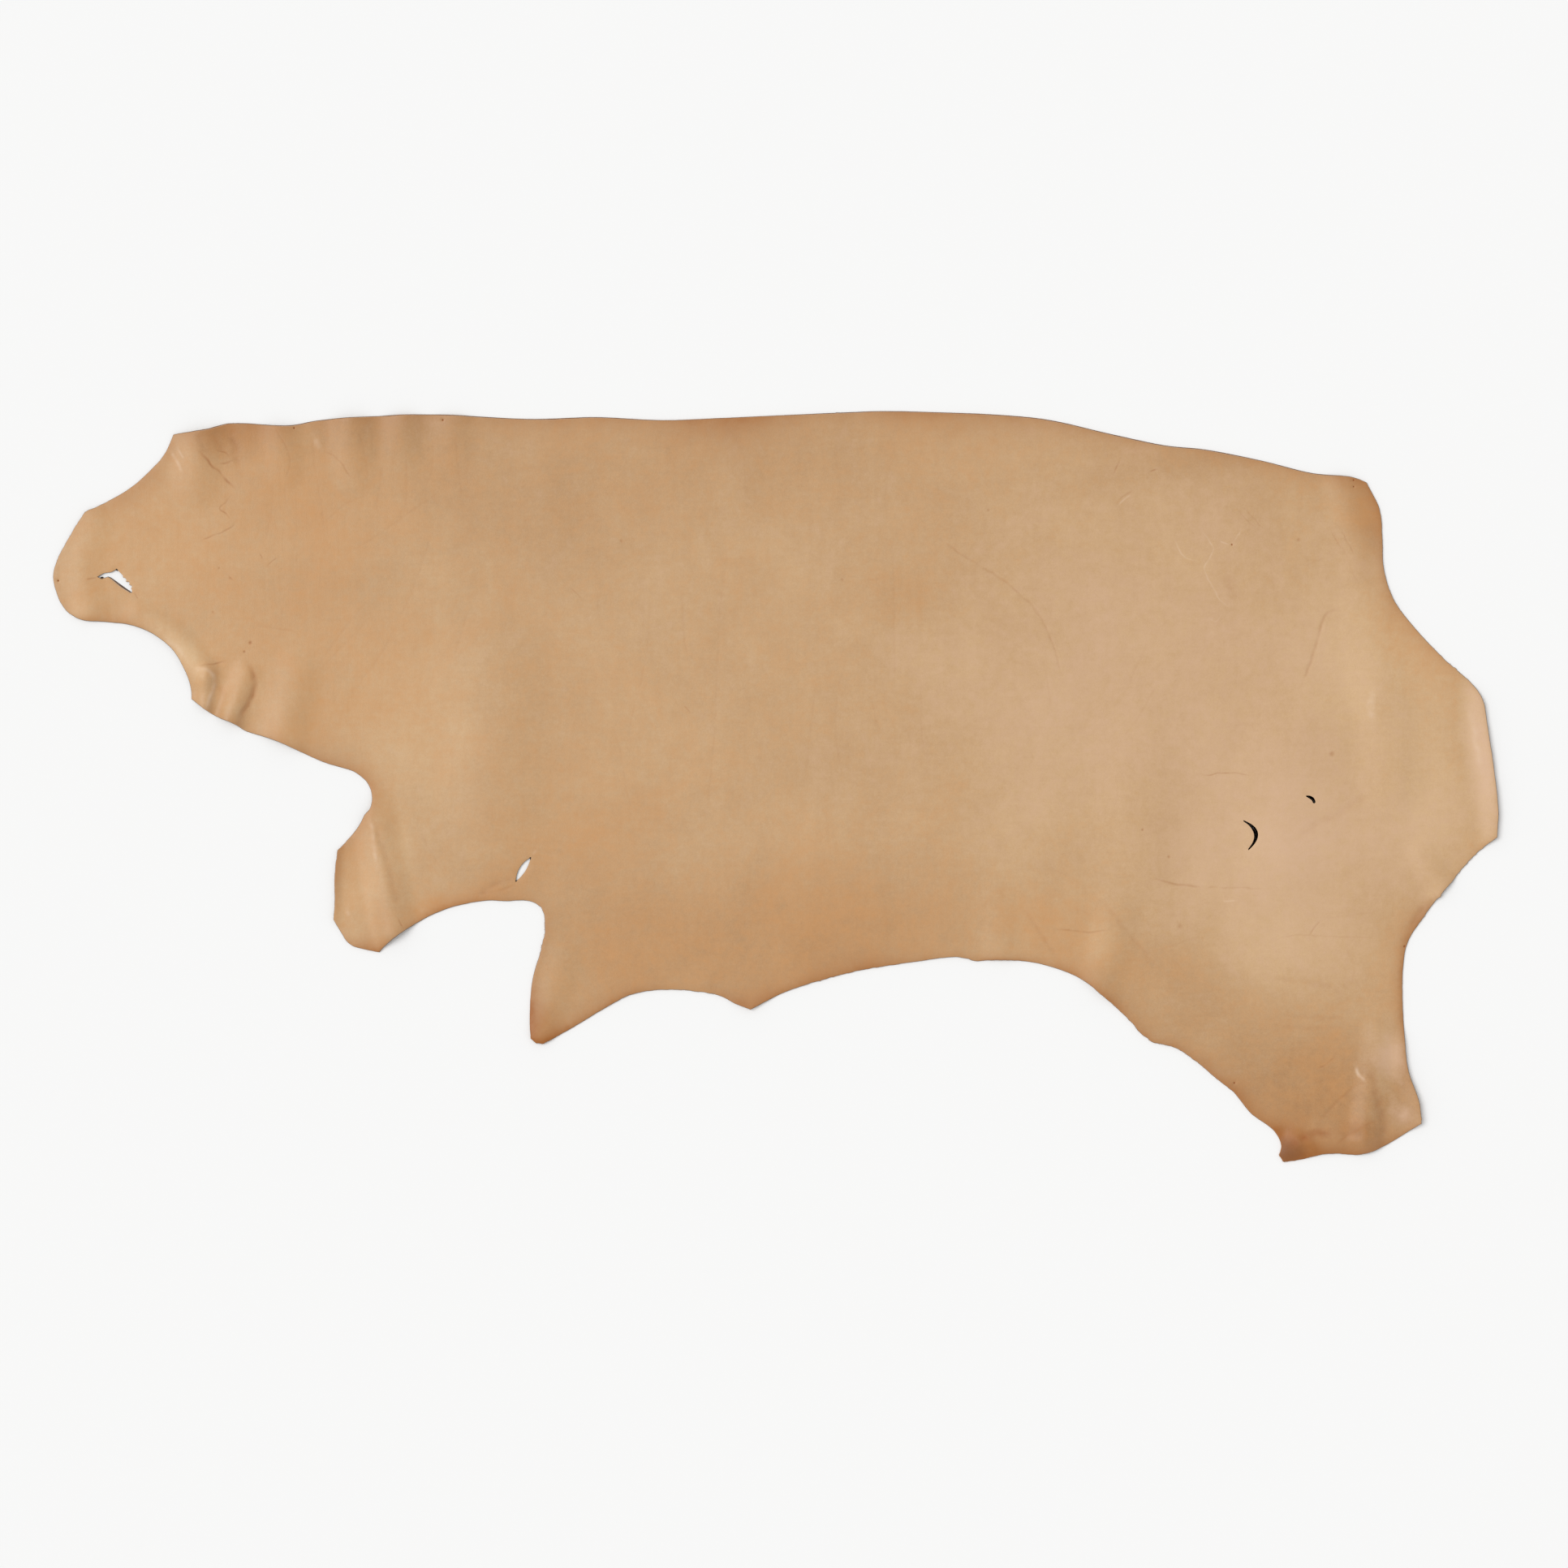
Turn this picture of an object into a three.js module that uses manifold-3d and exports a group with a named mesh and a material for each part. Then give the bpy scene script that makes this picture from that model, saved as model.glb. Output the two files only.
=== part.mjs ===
// A leather side: one half of a cattle hide, vegetable tanned and left whole from muzzle to hind shank.
// It is one sheet, with no lining, hem or binding, laid on a surface with its smooth grain side up.
// Lengths are in millimetres. +X runs from the muzzle to the buttock, +Y from the belly to the backbone
// and +Z away from the surface. The origin is on the surface, under the middle of the side.
import * as THREE from 'three';
import { mergeVertices } from 'three/addons/utils/BufferGeometryUtils.js';
import Module from 'manifold-3d';

// Driving dimensions
const LENGTH = 2403; // from the muzzle to the buttock
const WIDTH = 1249; // from the backbone cut to the toe of the hind shank
const THICKNESS = 3;

// How finely the sheet is divided
const RIM_STEP = 15; // along the rim
const HOLE_STEPS = 6; // along each side of a cut
const MARGIN = 90; // how far the sheet reaches past the side before it is cut out
const COLUMN_ZONES = [{ upTo: -590, pitch: 16 }, { upTo: 840, pitch: 34 }, { upTo: 1140, pitch: 18 }];
const ROW_ZONES = [{ upTo: -300, pitch: 24 }, { upTo: 90, pitch: 30 }, { upTo: 560, pitch: 24 }];

// The rim, walked anticlockwise from the nape corner of the backbone cut. Each row is one stretch,
// through the points that give it its shape. A stretch that ends in a corner breaks the curve there.
const RIM = [
  { stretch: 'poll', corner: true, through: [[-1000, 584], [-1015, 551], [-1037, 526], [-1069, 497],
    [-1111, 472], [-1147, 455]] },
  { stretch: 'muzzle', corner: false, through: [[-1164, 429], [-1190, 383], [-1200, 350], [-1195, 323],
    [-1181, 294], [-1154, 276]] },
  { stretch: 'jaw', corner: true, through: [[-1111, 272], [-1072, 267], [-1037, 254], [-1003, 228],
    [-984, 198], [-972, 167], [-970, 144]] },
  { stretch: 'throat flap', corner: false, through: [[-953, 131], [-936, 119], [-915, 109], [-898, 103],
    [-885, 93]] },
  { stretch: 'chest', corner: false, through: [[-833, 76], [-750, 39], [-696, 21], [-675, 0],
    [-670, -25], [-676, -43]] },
  { stretch: 'foreleg', corner: true, through: [[-682, -48], [-688, -60], [-703, -81], [-727, -107]] },
  { stretch: 'fore shank', corner: true, through: [[-732, -149], [-732, -193], [-734, -222]] },
  { stretch: 'fore shank end', corner: true, through: [[-724, -240], [-708, -263], [-694, -269],
    [-658, -277]] },
  { stretch: 'armpit', corner: true, through: [[-642, -261], [-600, -231], [-547, -205], [-480, -191],
    [-447, -192], [-414, -191], [-389, -202], [-383, -238], [-390, -274], [-404, -325], [-408, -394], [-406, -420]] },
  { stretch: 'belly tip', corner: true, through: [[-393, -430], [-384, -428]] },
  { stretch: 'fore belly', corner: true, through: [[-345, -407], [-276, -366], [-235, -346],
    [-170, -339], [-89, -350], [-74, -359], [-41, -372]] },
  { stretch: 'hind belly', corner: true, through: [[12, -345], [64, -327], [142, -307], [217, -295],
    [303, -285], [332, -291]] },
  { stretch: 'flank', corner: true, through: [[406, -291], [451, -299], [506, -320], [547, -352],
    [586, -387], [607, -411], [627, -426]] },
  { stretch: 'thigh', corner: true, through: [[668, -437], [708, -465], [733, -487], [763, -511],
    [789, -543], [830, -575], [841, -598], [838, -615], [844, -625]] },
  { stretch: 'hind shank end', corner: true, through: [[870, -622], [917, -612], [978, -612],
    [1019, -595], [1073, -561]] },
  { stretch: 'hock', corner: true, through: [[1070, -527], [1052, -473], [1045, -404], [1043, -312],
    [1051, -261], [1078, -218], [1120, -164], [1165, -113], [1199, -86]] },
  { stretch: 'buttock', corner: true, through: [[1201, -42], [1195, 19], [1183, 102], [1175, 144],
    [1156, 172], [1117, 206], [1060, 266], [1028, 310], [1012, 360], [1009, 416], [1005, 458],
    [983, 504]] },
  { stretch: 'croup', corner: false, through: [[960, 513], [893, 520], [807, 541], [716, 559],
    [649, 566], [558, 585], [452, 609], [370, 617]] },
  { stretch: 'back', corner: false, through: [[281, 621], [176, 623], [35, 618], [-89, 612],
    [-183, 608], [-298, 613], [-409, 610]] },
  { stretch: 'neck', corner: true, through: [[-545, 617], [-615, 617], [-724, 611], [-764, 607],
    [-810, 599], [-885, 603], [-913, 602], [-940, 594], [-988, 586], [-1000, 584]] },
];

// The hole that the eye leaves, torn wider at both ends.
const EYE_HOLE = [[-1126, 347], [-1115, 353], [-1103, 355], [-1094, 360], [-1080, 345], [-1069, 331],
  [-1069, 322], [-1103, 346], [-1108, 348], [-1118, 345]];

// Cuts that a knife left through the hide, from tip to tip. A bow is how far one side of the cut
// swings out from the straight line between its tips, to the left of the way it runs.
const CUTS = [
  { cut: 'armpit slit', from: [-406, -119], to: [-431, -159], bows: [3.5, -6] },
  { cut: 'flank cut', from: [778, -58], to: [786, -106], bows: [19, 14.5] },
];

// The folds, each a soft ridge along a line. Its half width holds all the way, and its height runs
// from the first value at the line's start to the second at its end. The hide is flat between them.
const FOLDS = [
  { fold: 'nape wave', line: [[-955, 603], [-966, 498]], halfWidth: 50, height: [9, 4] },
  { fold: 'first neck ruffle', line: [[-824, 613], [-817, 525]], halfWidth: 42, height: [7, 2] },
  { fold: 'second neck ruffle', line: [[-707, 626], [-701, 518]], halfWidth: 46, height: [10, 2] },
  { fold: 'third neck ruffle', line: [[-619, 629], [-623, 532]], halfWidth: 40, height: [8, 1] },
  { fold: 'fourth neck ruffle', line: [[-534, 629], [-539, 552]], halfWidth: 42, height: [5, 1] },
  { fold: 'muzzle roll', line: [[-1133, 437], [-1156, 363], [-1141, 298]], halfWidth: 42, height: [3, 4] },
  { fold: 'throat roll', line: [[-1058, 286], [-990, 239], [-952, 185]], halfWidth: 36, height: [3, 8] },
  { fold: 'flap pleat', line: [[-943, 193], [-950, 131]], halfWidth: 22, height: [5, 9] },
  { fold: 'flap fold', line: [[-881, 185], [-911, 99]], halfWidth: 31, height: [5, 14] },
  { fold: 'dewlap', line: [[-796, 188], [-824, 59]], halfWidth: 52, height: [4, 9] },
  { fold: 'foreleg ridge', line: [[-668, -42], [-632, -242]], halfWidth: 46, height: [7, 12] },
  { fold: 'fore shank lift', line: [[-742, -109], [-748, -220]], halfWidth: 30, height: [5, 7] },
  { fold: 'chest wave', line: [[-480, 188], [-464, -42]], halfWidth: 115, height: [4, 5] },
  { fold: 'belly tip roll', line: [[-353, -285], [-391, -413]], halfWidth: 38, height: [2, 5] },
  { fold: 'navel lift', line: [[-68, -378], [-14, -375]], halfWidth: 34, height: [5, 5] },
  { fold: 'fore flank ruffle', line: [[368, -190], [379, -298]], halfWidth: 42, height: [2, 3] },
  { fold: 'flank ruffle', line: [[570, -204], [535, -345]], halfWidth: 50, height: [3, 5] },
  { fold: 'flank wave', line: [[607, 107], [600, -123]], halfWidth: 95, height: [3, 5] },
  { fold: 'rump wave', line: [[870, 93], [854, -109]], halfWidth: 110, height: [5, 4] },
  { fold: 'thigh wave', line: [[985, 290], [1018, 93], [1024, 0]], halfWidth: 64, height: [3, 6] },
  { fold: 'buttock lift', line: [[1190, 144], [1212, 12], [1215, -82]], halfWidth: 52, height: [6, 9] },
  { fold: 'hock ruffle', line: [[1075, -116], [1130, -194]], halfWidth: 36, height: [3, 8] },
  { fold: 'tail roll', line: [[944, 504], [973, 363]], halfWidth: 44, height: [4, 3] },
  { fold: 'shank ridge', line: [[1001, -413], [979, -589]], halfWidth: 34, height: [4, 9] },
  { fold: 'shank lift', line: [[1061, -433], [1087, -562]], halfWidth: 46, height: [6, 11] },
  { fold: 'shank roll', line: [[870, -590], [992, -585]], halfWidth: 34, height: [8, 6] },
];

const vector = ([x, y]) => new THREE.Vector2(x, y);

// Steps evenly along a smooth curve through the points, leaving out its last point.
function smoothRun(points) {
  const curve = new THREE.CatmullRomCurve3(points.map(([x, y]) => new THREE.Vector3(x, y, 0)), false,
    'centripetal');
  const steps = Math.max(1, Math.round(curve.getLength() / RIM_STEP));
  return curve.getSpacedPoints(steps).slice(0, -1).map(({ x, y }) => new THREE.Vector2(x, y));
}

// Joins the stretches into one closed loop, with a new smooth run after each corner.
function rimLoop() {
  const loop = [];
  let run = [RIM.at(-1).through.at(-1)];
  for (const { corner, through } of RIM) {
    run.push(...through);
    if (corner) {
      loop.push(...smoothRun(run));
      run = [through.at(-1)];
    }
  }
  return loop;
}

// One side of a cut, from a to b, bowed out to the left.
function bowedSide(a, b, bow) {
  const toTheLeft = b.clone().sub(a).normalize().rotateAround(new THREE.Vector2(), Math.PI / 2);
  const control = a.clone().add(b).multiplyScalar(0.5).addScaledVector(toTheLeft, 2 * bow);
  return new THREE.QuadraticBezierCurve(a, control, b).getPoints(HOLE_STEPS);
}

function cutLoop({ from, to, bows }) {
  const [near, far] = bows.map((bow) => bowedSide(vector(from), vector(to), bow));
  return [...near.slice(0, -1), ...far.reverse().slice(0, -1)];
}

// How high the hide's underside lies over the surface at a point.
function lie(x, y) {
  return FOLDS.reduce((sum, fold) => sum + ridge(x, y, fold), 0);
}

// The height of one fold at a point: a rounded section that is level on top and runs out flat.
function ridge(x, y, { line, halfWidth, height: [first, last] }) {
  const point = new THREE.Vector3(x, y, 0);
  const segments = line.slice(1).map((end, i) => new THREE.Line3(
    new THREE.Vector3(...line[i], 0), new THREE.Vector3(...end, 0)));
  const length = segments.reduce((sum, segment) => sum + segment.distance(), 0);
  let away = Infinity;
  let along = 0;
  let passed = 0;
  for (const segment of segments) {
    const share = segment.closestPointToPointParameter(point, true);
    const distance = segment.at(share, new THREE.Vector3()).distanceTo(point);
    if (distance < away) {
      away = distance;
      along = (passed + share * segment.distance()) / length;
    }
    passed += segment.distance();
  }
  if (away >= halfWidth) return 0;
  return THREE.MathUtils.lerp(first, last, along) * Math.cos(away / halfWidth * Math.PI / 2) ** 2;
}

// Where the lines of the sheet's grid lie across one direction, closer together in the zones of narrow folds.
function gridLines(zones, size) {
  const lines = [-size / 2 - MARGIN];
  for (const { upTo, pitch } of [...zones, { upTo: size / 2 + MARGIN, pitch: zones.at(-1).pitch }]) {
    const start = lines.at(-1);
    const steps = Math.ceil((upTo - start) / pitch);
    for (let step = 1; step <= steps; step++) {
      lines.push(start + (upTo - start) * step / steps);
    }
  }
  return lines;
}

// A sheet that follows the folds, a little larger than the side all round. It has a grid of cells
// where folds lift it, and each level run between them is one strip.
function foldedSheet() {
  const xs = gridLines(COLUMN_ZONES, LENGTH);
  const ys = gridLines(ROW_ZONES, WIDTH);
  const columns = xs.length - 1;
  const rows = ys.length - 1;
  const heights = ys.map((y) => xs.map((x) => lie(x, y)));
  const positions = ys.flatMap((y, row) => xs.flatMap((x, column) => {
    const height = heights[row][column];
    return [x, y, height, x, y, height + THICKNESS];
  }));
  const under = (column, row) => 2 * (row * xs.length + column);
  const over = (column, row) => under(column, row) + 1;
  const isLifted = (column, row) => (heights[row]?.[column] ?? 0) > 0;
  const isFolded = (column, row) => isLifted(column, row) || isLifted(column + 1, row)
    || isLifted(column, row + 1) || isLifted(column + 1, row + 1);
  const isKept = (column, row) => column === 0 || column === columns || isFolded(column, row)
    || isFolded(column - 1, row) || isFolded(column, row - 1) || isFolded(column - 1, row - 1);
  const index = [];
  const addFacet = (a, b, c) => {
    index.push(over(...a), over(...b), over(...c), under(...a), under(...c), under(...b));
  };
  const addWall = (a, b) => {
    index.push(under(...a), under(...b), over(...b), under(...a), over(...b), over(...a));
  };

  for (let row = 0; row < rows; row++) {
    let low = 0;
    let high = 0;
    while (low < columns || high < columns) {
      const nextLow = nextKept(low, row);
      const nextHigh = nextKept(high, row + 1);
      if (high === columns || (low < columns && nextLow <= nextHigh)) {
        addFacet([low, row], [nextLow, row], [high, row + 1]);
        low = nextLow;
      } else {
        addFacet([low, row], [nextHigh, row + 1], [high, row + 1]);
        high = nextHigh;
      }
    }
    addWall([0, row + 1], [0, row]);
    addWall([columns, row], [columns, row + 1]);
  }
  addWall([0, 0], [columns, 0]);
  addWall([columns, rows], [0, rows]);

  function nextKept(column, row) {
    let next = Math.min(column + 1, columns);
    while (!isKept(next, row)) next++;
    return next;
  }

  const geometry = new THREE.BufferGeometry();
  geometry.setAttribute('position', new THREE.Float32BufferAttribute(positions, 3));
  geometry.setIndex(index);
  return geometry;
}

// The side's outline with its holes, drawn out to the length and width above and centred,
// and standing taller than any fold.
function outlineBlock() {
  const rim = rimLoop();
  const drawn = new THREE.Box2().setFromPoints(rim);
  const centre = drawn.getCenter(new THREE.Vector2());
  const scale = new THREE.Vector2(LENGTH, WIDTH).divide(drawn.getSize(new THREE.Vector2()));
  const fit = (points) => points.map((point) => point.clone().sub(centre).multiply(scale));
  const shape = new THREE.Shape(fit(rim));
  shape.holes = [EYE_HOLE.map(vector), ...CUTS.map(cutLoop)].map((hole) => new THREE.Path(fit(hole)));
  const below = 5;
  const tallest = FOLDS.reduce((sum, { height }) => sum + Math.max(...height), THICKNESS);
  return new THREE.ExtrudeGeometry(shape, { depth: below + tallest, bevelEnabled: false, curveSegments: 1 })
    .translate(0, 0, -below);
}

const wasm = await Module();
wasm.setup();

function toSolid(geometry) {
  geometry.deleteAttribute('normal');
  geometry.deleteAttribute('uv');
  const merged = mergeVertices(geometry);
  return new wasm.Manifold(new wasm.Mesh({
    numProp: 3,
    vertProperties: new Float32Array(merged.attributes.position.array),
    triVerts: new Uint32Array(merged.index.array),
  }));
}

function toGeometry(solid) {
  const { vertProperties, triVerts } = solid.getMesh();
  const geometry = new THREE.BufferGeometry();
  geometry.setAttribute('position', new THREE.BufferAttribute(vertProperties, 3));
  geometry.setIndex(new THREE.BufferAttribute(triVerts, 1));
  geometry.computeVertexNormals();
  return geometry;
}

const sideGeometry = toGeometry(toSolid(foldedSheet()).intersect(toSolid(outlineBlock())));
const grainLeather = new THREE.MeshStandardMaterial({ color: 0xc7a079, roughness: 0.55, metalness: 0 });

const side = new THREE.Mesh(sideGeometry, grainLeather);
side.name = 'leather_side';

const part = new THREE.Group();
part.add(side);

export default part;
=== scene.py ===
# A vegetable tanned leather side, left whole from muzzle to hind shank and laid out grain side up.
# Blender's lengths are in metres. The tables of folds, creases and stains are in millimetres from
# the middle of the side, with +X towards the buttock and +Y towards the backbone.
import math

import bmesh
import bpy
import numpy as np
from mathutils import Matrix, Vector, geometry, kdtree, noise


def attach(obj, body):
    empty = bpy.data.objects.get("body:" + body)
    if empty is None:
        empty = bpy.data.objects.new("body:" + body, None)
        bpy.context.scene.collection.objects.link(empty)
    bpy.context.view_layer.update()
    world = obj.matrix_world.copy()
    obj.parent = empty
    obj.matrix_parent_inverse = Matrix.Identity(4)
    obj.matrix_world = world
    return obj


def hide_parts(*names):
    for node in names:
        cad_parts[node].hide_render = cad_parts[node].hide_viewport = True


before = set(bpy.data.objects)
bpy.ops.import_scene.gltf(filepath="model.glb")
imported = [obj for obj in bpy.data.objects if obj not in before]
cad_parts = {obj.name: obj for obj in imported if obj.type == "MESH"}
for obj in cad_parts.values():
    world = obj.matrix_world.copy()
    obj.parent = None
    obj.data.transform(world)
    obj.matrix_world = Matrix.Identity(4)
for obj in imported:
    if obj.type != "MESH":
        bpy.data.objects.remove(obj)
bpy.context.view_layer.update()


# Camera
# It hangs straight over the side with the backbone at the top of the picture, far enough off
# to show the side without perspective, and takes in a little more than the side's length.
VIEW_WIDTH = 2.608
VIEW_MIDDLE = (0.0142, 0.0040)
LENS = 100
SENSOR = 36
SIGHT = 100


def put_in(name, data):
    """A new object in the scene."""
    made = bpy.data.objects.new(name, data)
    bpy.context.scene.collection.objects.link(made)
    return made


camera = put_in("camera", bpy.data.cameras.new("camera"))
camera.data.lens = LENS
camera.data.sensor_width = SENSOR
camera.data.clip_end = SIGHT
camera.location = (*VIEW_MIDDLE, VIEW_WIDTH * LENS / SENSOR)
bpy.context.scene.camera = camera


# Floor and light
# A plain, nearly white floor. A broad soft lamp stands high on the left, a little towards the
# backbone, and the white room fills the rest, so that each fold is lighter on its left.
FLOOR_HALF = 40
FLOOR_DROP = 0.0004
FLOOR_WHITE = (0.90, 0.90, 0.895, 1)
FLOOR_ROUGHNESS = 0.9
FLOOR_SHINE = 0.1
ROOM_LIGHT = 0.62
LAMP_STRENGTH = 1.65
LAMP_SPREAD = math.radians(40)
LAMP_HEIGHT = math.radians(54)
LAMP_SIDE = math.radians(162)


def set_inputs(node, inputs):
    """Sets a node's inputs to values, or links them to other nodes' outputs."""
    for name, value in dict(inputs).items():
        if isinstance(value, bpy.types.NodeSocket):
            node.id_data.links.new(value, node.inputs[name])
        else:
            node.inputs[name].default_value = value


def add_node(tree, kind, inputs=(), **settings):
    """Adds a node, sets its properties, and sets or links its inputs."""
    made = tree.nodes.new(kind)
    for name, value in settings.items():
        setattr(made, name, value)
    set_inputs(made, inputs)
    return made


def new_material(name):
    """An empty material with a principled shader, as the material, its tree and the shader."""
    material = bpy.data.materials.new(name)
    material.use_nodes = True
    return material, material.node_tree, material.node_tree.nodes["Principled BSDF"]


floor_mesh = bpy.data.meshes.new("floor")
floor_mesh.from_pydata([(x * FLOOR_HALF, y * FLOOR_HALF, -FLOOR_DROP)
                        for x, y in ((-1, -1), (1, -1), (1, 1), (-1, 1))], [], [(0, 1, 2, 3)])
floor = put_in("floor", floor_mesh)
floor_paint, _, floor_shader = new_material("floor_paint")
set_inputs(floor_shader, {"Base Color": FLOOR_WHITE, "Roughness": FLOOR_ROUGHNESS,
                          "Specular IOR Level": FLOOR_SHINE})
floor_mesh.materials.append(floor_paint)

lamp = put_in("lamp", bpy.data.lights.new("lamp", "SUN"))
lamp.data.energy = LAMP_STRENGTH
lamp.data.angle = LAMP_SPREAD
to_lamp = Vector((math.cos(LAMP_SIDE) * math.cos(LAMP_HEIGHT), math.sin(LAMP_SIDE) * math.cos(LAMP_HEIGHT),
                  math.sin(LAMP_HEIGHT)))
lamp.rotation_euler = to_lamp.to_track_quat("Z", "Y").to_euler()

room = bpy.data.worlds.new("room")
room.use_nodes = True
set_inputs(room.node_tree.nodes["Background"], {"Color": (1, 1, 1, 1), "Strength": ROOM_LIGHT})
bpy.context.scene.world = room
bpy.context.scene.view_settings.view_transform = "Standard"


# The side
# One half of a cattle hide, about 3 mm thick, cut along the backbone and trimmed by knife round
# the rest. Tanned in bark liquor, glazed on its grain side and left undyed, with its rim darker.
MM = 0.001
THICKNESS = 3.0


def table(columns, rows):
    """A list of rows whose values go by the names of the columns."""
    return [dict(zip(columns.split(", "), row)) for row in rows]


# The rim, finer than the CAD solid's: it turns smoothly between corners, and its cut face slants.
RIM_STEP = 3.0
HOLE_STEP = 1.2
STRAIGHT = math.radians(0.4)
CORNER = math.radians(32)
FACES_UP = 0.5
UPRIGHT = 0.2
SAME_CORNER = 1e-6
KNIFE_SLANT = 1.1
BACKBONE_SLANT = 2.7
BACKBONE_LOW = 500
BACKBONE_ENDS = (-996, 978)
BACKBONE_SMOOTHER = 0.6
SLANT_RUN_IN = 45
SLANT_MEAN = 0.85
SLANT_WAVES = [(0.3, 60, 7.5)]
RINGS = table("ring, down, inset", [
    ("crest", 0.0, 0.8),
    ("rounded grain edge", 0.07, 0.15),
    ("grain line", 0.22, 0.0),
    ("middle", 0.55, 0.12),
    ("flesh edge", 0.85, 0.0),
    ("flesh lip", 1.0, 0.5),
])
SMALL_CUT = [(882, -16), (889, -16.8), (894.4, -20.6), (895.6, -27.2), (891.8, -22.2), (887.6, -19.2)]
# Closed cuts, and the ends of the armpit slit and the eye hole: their lips lean in till they nearly meet, and
# their cut face is painted near black as shadow, by its gloom.
SHUT = table("shut, at, reach, gloom", [
    ("flank cut", (792, -82), 66, 1.2),
    ("small cut", (889, -21), 30, 1.2),
    ("upper end of the armpit slit", (-406, -119), 5, 0.9),
    ("lower end of the armpit slit", (-431, -159), 5, 0.9),
    ("left end of the eye hole", (-1120, 347), 3.6, 0.8),
    ("top of the eye hole", (-1095, 361), 3.6, 0.8),
])
SHUT_STEEPNESS = 2
SHUT_LEAN = 0.96
SHUT_GAP = 0.06
MOSTLY_SHUT = 0.5
WIDEST_LEAN = 3.0
ACROSS_STEP = 0.25
FACING = 1e-3
HOLE_SLANT = 0.25
KNIFE_ROUGH = 0.25
KNIFE_WAVES = [(0.7, 7, 1.5), (0.5, 24, 4.5)]
EYE_SLANT = 4.4
EYE_SLANT_AT = (-1086, 334)
EYE_SLANT_REACH = 50
EYE_SLANT_WAY = (0.6, 0.8)
RAGGED = table("stretch, at, reach, rough", [
    ("nape", (-930, 596), 60, 0.5),
    ("muzzle", (-1170, 415), 90, 0.6),
    ("foreleg", (-735, -100), 60, 0.5),
    ("armpit", (-392, -245), 70, 0.9),
    ("belly tip", (-392, -425), 25, 0.8),
    ("fore belly", (-180, -345), 150, 0.5),
    ("belly", (110, -315), 150, 0.5),
    ("flank", (360, -292), 70, 0.7),
    ("thigh front", (640, -435), 220, 0.5),
    ("toe", (842, -615), 40, 0.9),
    ("shank end", (950, -612), 100, 0.4),
    ("hock", (1125, -160), 110, 1.0),
    ("buttock top", (1120, 200), 70, 0.6),
    ("eye hole", (-1074, 338), 26, 0.5),
])
NUB_REACH = 4.5
NUBS = table("nub, at, out, reach", [
    ("buttock", (1174, -102), 1.6),
    ("under the buttock", (1164, -113), 1.3),
    ("hock", (1105, -184), 2.0),
    ("rump", (1131, 197), 1.6),
    ("flank", (560, -366), 1.4),
    ("fore flank", (483, -312), 1.2),
    ("belly", (74, -325), 1.3),
    ("back", (103, 620), 1.0),
    ("shank", (1073, -552), 1.2),
    ("toe", (839, -614), 1.6),
    ("eye", (-1083, 349), 2.0, 2.8),
    ("eye", (-1078, 342), 2.6, 2.6),
    ("eye", (-1073, 336), 2.2, 2.4),
    ("eye", (-1069, 329), 2.6, 2.8),
    ("flank cut", (791, -74), -0.6, 15),
    ("armpit slit", (-418, -139), -0.5, 26),
])

# The folds, as in the CAD solid: each a soft ridge along a line, its height running from the
# first value to the second.
FOLDS = table("fold, line, half, height", [
    ("nape wave", [(-955, 603), (-966, 498)], 50, (9, 4)),
    ("first neck ruffle", [(-824, 613), (-817, 525)], 42, (7, 2)),
    ("second neck ruffle", [(-707, 626), (-701, 518)], 46, (10, 2)),
    ("third neck ruffle", [(-619, 629), (-623, 532)], 40, (8, 1)),
    ("fourth neck ruffle", [(-534, 629), (-539, 552)], 42, (5, 1)),
    ("muzzle roll", [(-1133, 437), (-1156, 363), (-1141, 298)], 42, (3, 4)),
    ("throat roll", [(-1058, 286), (-990, 239), (-952, 185)], 36, (3, 8)),
    ("flap pleat", [(-943, 193), (-950, 131)], 22, (5, 9)),
    ("flap fold", [(-881, 185), (-911, 99)], 31, (5, 14)),
    ("dewlap", [(-796, 188), (-824, 59)], 52, (4, 9)),
    ("foreleg ridge", [(-668, -42), (-632, -242)], 46, (7, 12)),
    ("fore shank lift", [(-742, -109), (-748, -220)], 30, (5, 7)),
    ("chest wave", [(-480, 188), (-464, -42)], 115, (4, 5)),
    ("belly tip roll", [(-353, -285), (-391, -413)], 38, (2, 5)),
    ("navel lift", [(-68, -378), (-14, -375)], 34, (5, 5)),
    ("fore flank ruffle", [(368, -190), (379, -298)], 42, (2, 3)),
    ("flank ruffle", [(570, -204), (535, -345)], 50, (3, 5)),
    ("flank wave", [(607, 107), (600, -123)], 95, (3, 5)),
    ("rump wave", [(870, 93), (854, -109)], 110, (5, 4)),
    ("thigh wave", [(985, 290), (1018, 93), (1024, 0)], 64, (3, 6)),
    ("buttock lift", [(1190, 144), (1212, 12), (1215, -82)], 52, (6, 9)),
    ("hock ruffle", [(1075, -116), (1130, -194)], 36, (3, 8)),
    ("tail roll", [(944, 504), (973, 363)], 44, (4, 3)),
    ("shank ridge", [(1001, -413), (979, -589)], 34, (4, 9)),
    ("shank lift", [(1061, -433), (1087, -562)], 46, (6, 11)),
    ("shank roll", [(870, -590), (992, -585)], 34, (8, 6)),
])
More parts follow.
